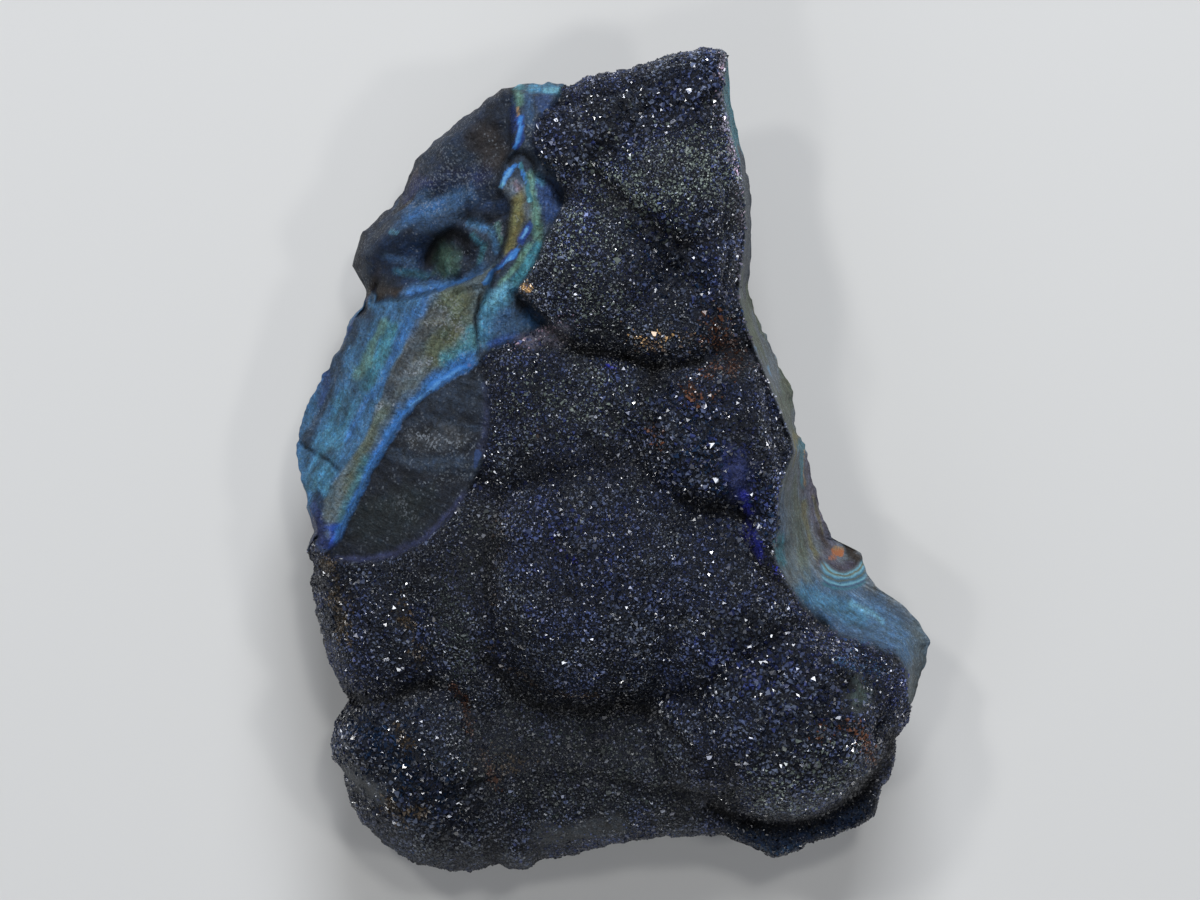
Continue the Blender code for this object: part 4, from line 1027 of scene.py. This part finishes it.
def azurite_rock(middle):
    """Massive azurite with weathered layers, as a broken face: dull, drawn out in streaks along its layers,
    with a fine sparkle where cleavage faces lie in it. Between the druse crystals it is a bed of finer
    ones, nearly black."""
    made, tree, shader = start_material("azurite_rock")
    mixed, multiplied = {"data_type": "RGBA"}, {"data_type": "RGBA", "blend_type": "MULTIPLY"}
    place = node(tree, "ShaderNodeTexCoord")
    here = place.outputs["Object"]
    keys = ("wash", "vein", "vein_colour", "light", "light_colour", "ring", "shade", "druse", "frost")
    mark = {key: node(tree, "ShaderNodeAttribute", attribute_name=key).outputs for key in keys}
    drawn = node(tree, "ShaderNodeMapping", {"Vector": place.outputs["UV"], "Scale": (0.22, 1.9, 1.0)})
    streak, cloud, grit, mottle = (
        node(tree, "ShaderNodeTexNoise", {"Vector": vector, "Scale": scale, "Detail": detail,
                                          "Roughness": broken, "Distortion": bent}).outputs["Fac"]
        for vector, scale, detail, broken, bent in (
            (drawn.outputs[0], 1.0, 7.0, 0.65, 0.0), (here, per_mm(1.6), 7.0, 0.66, 0.0),
            (here, per_mm(0.3), 4.0, 0.7, 0.8), (here, per_mm(0.8), 5.0, 0.7, 0.6)))
    grain = node(tree, "ShaderNodeTexVoronoi", {"Vector": here, "Scale": per_mm(0.17)})
    cells = node(tree, "ShaderNodeSeparateColor", {"Color": grain.outputs["Color"]}).outputs

    # ranges: value, its low and high end, and what these become
    tint, streaky, cloudy, speck, few, many, in_clouds, off_druse, rough, lean = (
        node(tree, "ShaderNodeMapRange", span).outputs[0] for span in (
            (mottle, 0.35, 0.65, 0.0, 1.0), (streak, 0.3, 0.7, 0.62, 1.45), (cloud, 0.3, 0.7, 0.55, 1.55),
            (grit, 0.32, 0.68, 0.45, 1.6), (cells[1], 0.90, 0.97, 0.0, 0.35),
            (cells[1], 0.72, 0.9, 0.0, 0.75), (cloud, 0.45, 0.65, 0.0, 1.0),
            (mark["druse"]["Fac"], 0.0, 0.5, 1.0, 0.0),
            (cells[0], 0.86, 0.92, 0.62, 0.28), (mark["druse"]["Fac"], 0.0, 1.0, 0.35, 1.3)))

    # the wash, tinted warm or cool in patches, lightened and darkened along the streaks and in clouds, and
    # speckled by grit
    colour = mark["wash"]["Color"]
    warm, cool = (1.12, 1.0, 0.86, 1.0), (0.88, 1.0, 1.12, 1.0)
    tint = node(tree, "ShaderNodeMix", {0: tint, 6: warm, 7: cool}, **mixed).outputs[2]
    for change in (tint, streaky, cloudy, speck):
        colour = node(tree, "ShaderNodeMix", {0: 1.0, 6: colour, 7: change}, **multiplied).outputs[2]

    # pale grains, partly painted glints: a few in the clouds, more where frost lies, and none on the druse
    dusty = node(tree, "ShaderNodeMath", (few, in_clouds), operation="MULTIPLY").outputs[0]
    frosty = node(tree, "ShaderNodeMath", (many, mark["frost"]["Fac"]), operation="MULTIPLY").outputs[0]
    dusty = node(tree, "ShaderNodeMath", (dusty, frosty), operation="MAXIMUM").outputs[0]
    dusty = node(tree, "ShaderNodeMath", (dusty, off_druse), operation="MULTIPLY").outputs[0]
    colour = node(tree, "ShaderNodeMix", {0: dusty, 6: colour, 7: linear(PALE_GRAIN)}, **mixed).outputs[2]

    # veins and their highlights, with ragged edges
    ragged = node(tree, "ShaderNodeMath", (grit, 0.4, -0.2), operation="MULTIPLY_ADD").outputs[0]
    for line in ("vein", "light"):
        ink = mark[line + "_colour"]
        level = node(tree, "ShaderNodeMath", (mark[line]["Fac"], ragged), operation="ADD").outputs[0]
        inside = node(tree, "ShaderNodeMapRange", (level, 0.42, 0.60, 0.0, 1.0)).outputs[0]
        inside = node(tree, "ShaderNodeMath", (inside, ink["Alpha"]), operation="MULTIPLY").outputs[0]
        colour = node(tree, "ShaderNodeMix", {0: inside, 6: colour, 7: ink["Color"]}, **mixed).outputs[2]

    # the rings of growth: colours along the distance from the knob's centre, uneven in clouds
    centre = on_sheet(RING_CENTRE)[0] - middle
    flat = node(tree, "ShaderNodeVectorMath", {0: here, 1: (1 / METRE, 1 / METRE, 0.0),
                                               2: (-centre[0], -centre[1], 0.0)}, operation="MULTIPLY_ADD")
    flat = node(tree, "ShaderNodeVectorMath", {0: flat.outputs[0], 1: RING_SQUEEZE}, operation="MULTIPLY")
    radius = node(tree, "ShaderNodeVectorMath", {0: flat.outputs[0]}, operation="LENGTH").outputs["Value"]
    uneven = node(tree, "ShaderNodeMath", (cloud, 0.5, -0.25), operation="MULTIPLY_ADD").outputs[0]
    radius = node(tree, "ShaderNodeMath", (radius, uneven), operation="ADD").outputs[0]
    first, last = RING_SPAN
    along, started, unfinished = (
        node(tree, "ShaderNodeMapRange", (radius, *span)).outputs[0] for span in (
            (first, last, 0.0, 1.0), (first, first + 0.1, 0.0, 1.0), (last - 0.3, last, 1.0, 0.0)))
    growth = node(tree, "ShaderNodeValToRGB", {"Fac": along})
    stops = growth.color_ramp.elements
    for _ in RINGS[2:]:
        stops.new(0.5)
    for stop, (at, name) in zip(stops, RINGS):
        stop.position, stop.color = at, linear(COLOURS[name])
    within = node(tree, "ShaderNodeMath", (started, unfinished), operation="MULTIPLY").outputs[0]
    reached = node(tree, "ShaderNodeMath", (mark["ring"]["Fac"], 0.85), operation="MULTIPLY").outputs[0]
    within = node(tree, "ShaderNodeMath", (within, reached), operation="MULTIPLY").outputs[0]
    colour = node(tree, "ShaderNodeMix", {0: within, 6: colour, 7: growth.outputs["Color"]}, **mixed)

    # painted shade along the creases
    shade = node(tree, "ShaderNodeMath", (mark["shade"]["Fac"], -0.9, 1.0), operation="MULTIPLY_ADD")
    colour = node(tree, "ShaderNodeMix", {0: 1.0, 6: colour.outputs[2], 7: shade.outputs[0]}, **multiplied)
    tree.links.new(colour.outputs[2], shader.inputs["Base Color"])

    # about one cell of the grain in nine is a bright cleavage face, and each cell leans its own way
    tree.links.new(rough, shader.inputs["Roughness"])
    shader.inputs["IOR"].default_value = 1.6
    shader.inputs["Specular IOR Level"].default_value = 0.22
    aside = node(tree, "ShaderNodeVectorMath", {0: grain.outputs["Color"], 1: (0.5, 0.5, 0.5)},
                 operation="SUBTRACT")
    aside = node(tree, "ShaderNodeVectorMath", {0: aside.outputs[0], "Scale": lean}, operation="SCALE")
    upright = node(tree, "ShaderNodeNewGeometry").outputs["Normal"]
    normal = node(tree, "ShaderNodeVectorMath", {0: upright, 1: aside.outputs[0]}, operation="ADD")
    normal = node(tree, "ShaderNodeVectorMath", {0: normal.outputs[0]}, operation="NORMALIZE")
    for field, deep in ((streak, 0.22), (cloud, 0.6), (grit, 0.17)):
        normal = node(tree, "ShaderNodeBump", {"Height": field, "Strength": 0.9, "Distance": deep * METRE,
                                               "Normal": normal.outputs[0]})
    tree.links.new(normal.outputs[0], shader.inputs["Normal"])
    return made


def azurite_crystal():
    """Azurite crystals: glassy, nearly black blue in the mass. Smooth faces throw back small bright glints,
    and dull ones carry a dusty coat."""
    made, tree, shader = start_material("azurite_crystal")
    hue, dull = (node(tree, "ShaderNodeAttribute", attribute_name=key).outputs for key in ("hue", "dull"))
    rough = node(tree, "ShaderNodeMapRange", (dull["Fac"], -0.5, 1.0, 0.13, 0.62)).outputs[0]
    tree.links.new(hue["Color"], shader.inputs["Base Color"])
    tree.links.new(rough, shader.inputs["Roughness"])
    shader.inputs["IOR"].default_value = 1.73
    return made


def plain(name, code, roughness):
    """A plain matt surface for the floor."""
    made, _, shader = start_material(name)
    shader.inputs["Base Color"].default_value = linear(code)
    shader.inputs["Roughness"].default_value = roughness
    return made


# ------------------------------------------------------------------ the piece

stone, surface, wall, faces, middle = stone_surface()
stone.data.materials.append(azurite_rock(middle))
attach(stone, "root")
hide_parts("azurite_rock")

crystal = azurite_crystal()
for druse in druse_crystals(surface, wall, faces, middle):
    druse.data.materials.append(crystal)
    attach(druse, "root")


# ------------------------------------------------------------------ floor, light and camera

FLOOR_HALF = 3.0                # m
bpy.ops.mesh.primitive_plane_add(size=2 * FLOOR_HALF, location=(0, 0, 0))
floor = bpy.context.object
floor.name = "floor"
floor.data.materials.append(plain("pale_board", "#c9c8c4", 0.8))

world = bpy.data.worlds.new("soft_sky")
bpy.context.scene.world = world
world.use_nodes = True
world.node_tree.nodes["Background"].inputs["Color"].default_value = linear("#d9e5ff")
world.node_tree.nodes["Background"].inputs["Strength"].default_value = 0.135


def lamp(name, place, width, watts, code="#ffffff"):
    """A square area light of that width in m, turned to the specimen."""
    data = bpy.data.lights.new(name, "AREA")
    data.size, data.energy, data.color = width, watts, linear(code)[:3]
    made = bpy.data.objects.new(name, data)
    made.location = place
    towards = -np.array(place) + (0, 0, 0.02)
    made.rotation_euler = mathutils.Vector(towards).to_track_quat("-Z", "Y").to_euler()
    bpy.context.scene.collection.objects.link(made)
    return made


lamp("window", (0.06, 0.58, 0.60), 0.34, 6.0, "#f3f7ff")
lamp("room", (-0.35, -0.45, 0.75), 0.6, 1.1, "#f4f7ff")
lamp("spark_1", (0.15, 0.25, 1.2), 0.09, 2.1)
lamp("spark_2", (-0.35, 0.35, 1.0), 0.09, 1.7)
lamp("spark_3", (0.45, -0.1, 1.0), 0.09, 1.2)
lamp("spark_4", (-0.30, -0.28, 1.05), 0.09, 1.1)

SHEET_WIDTH = 120.0             # mm seen across the picture at the reference height
REFERENCE_HEIGHT = 24.0         # mm
CAMERA_HEIGHT = 0.80            # m above the floor
PICTURE_CENTRE = (600, 450)     # ruling of the sheet under the camera
SENSOR = 36.0                   # mm
camera_data = bpy.data.cameras.new("camera")
camera_data.sensor_width = SENSOR
camera_data.lens = SENSOR * (CAMERA_HEIGHT / METRE - REFERENCE_HEIGHT) / SHEET_WIDTH
camera = bpy.data.objects.new("camera", camera_data)
camera_x, camera_y = on_sheet(PICTURE_CENTRE)[0] * METRE
camera.location = (camera_x, camera_y, CAMERA_HEIGHT)
camera_data.clip_start, camera_data.clip_end = 0.05, 20
bpy.context.scene.collection.objects.link(camera)
bpy.context.scene.camera = camera
bpy.context.scene.view_settings.view_transform = "Standard"
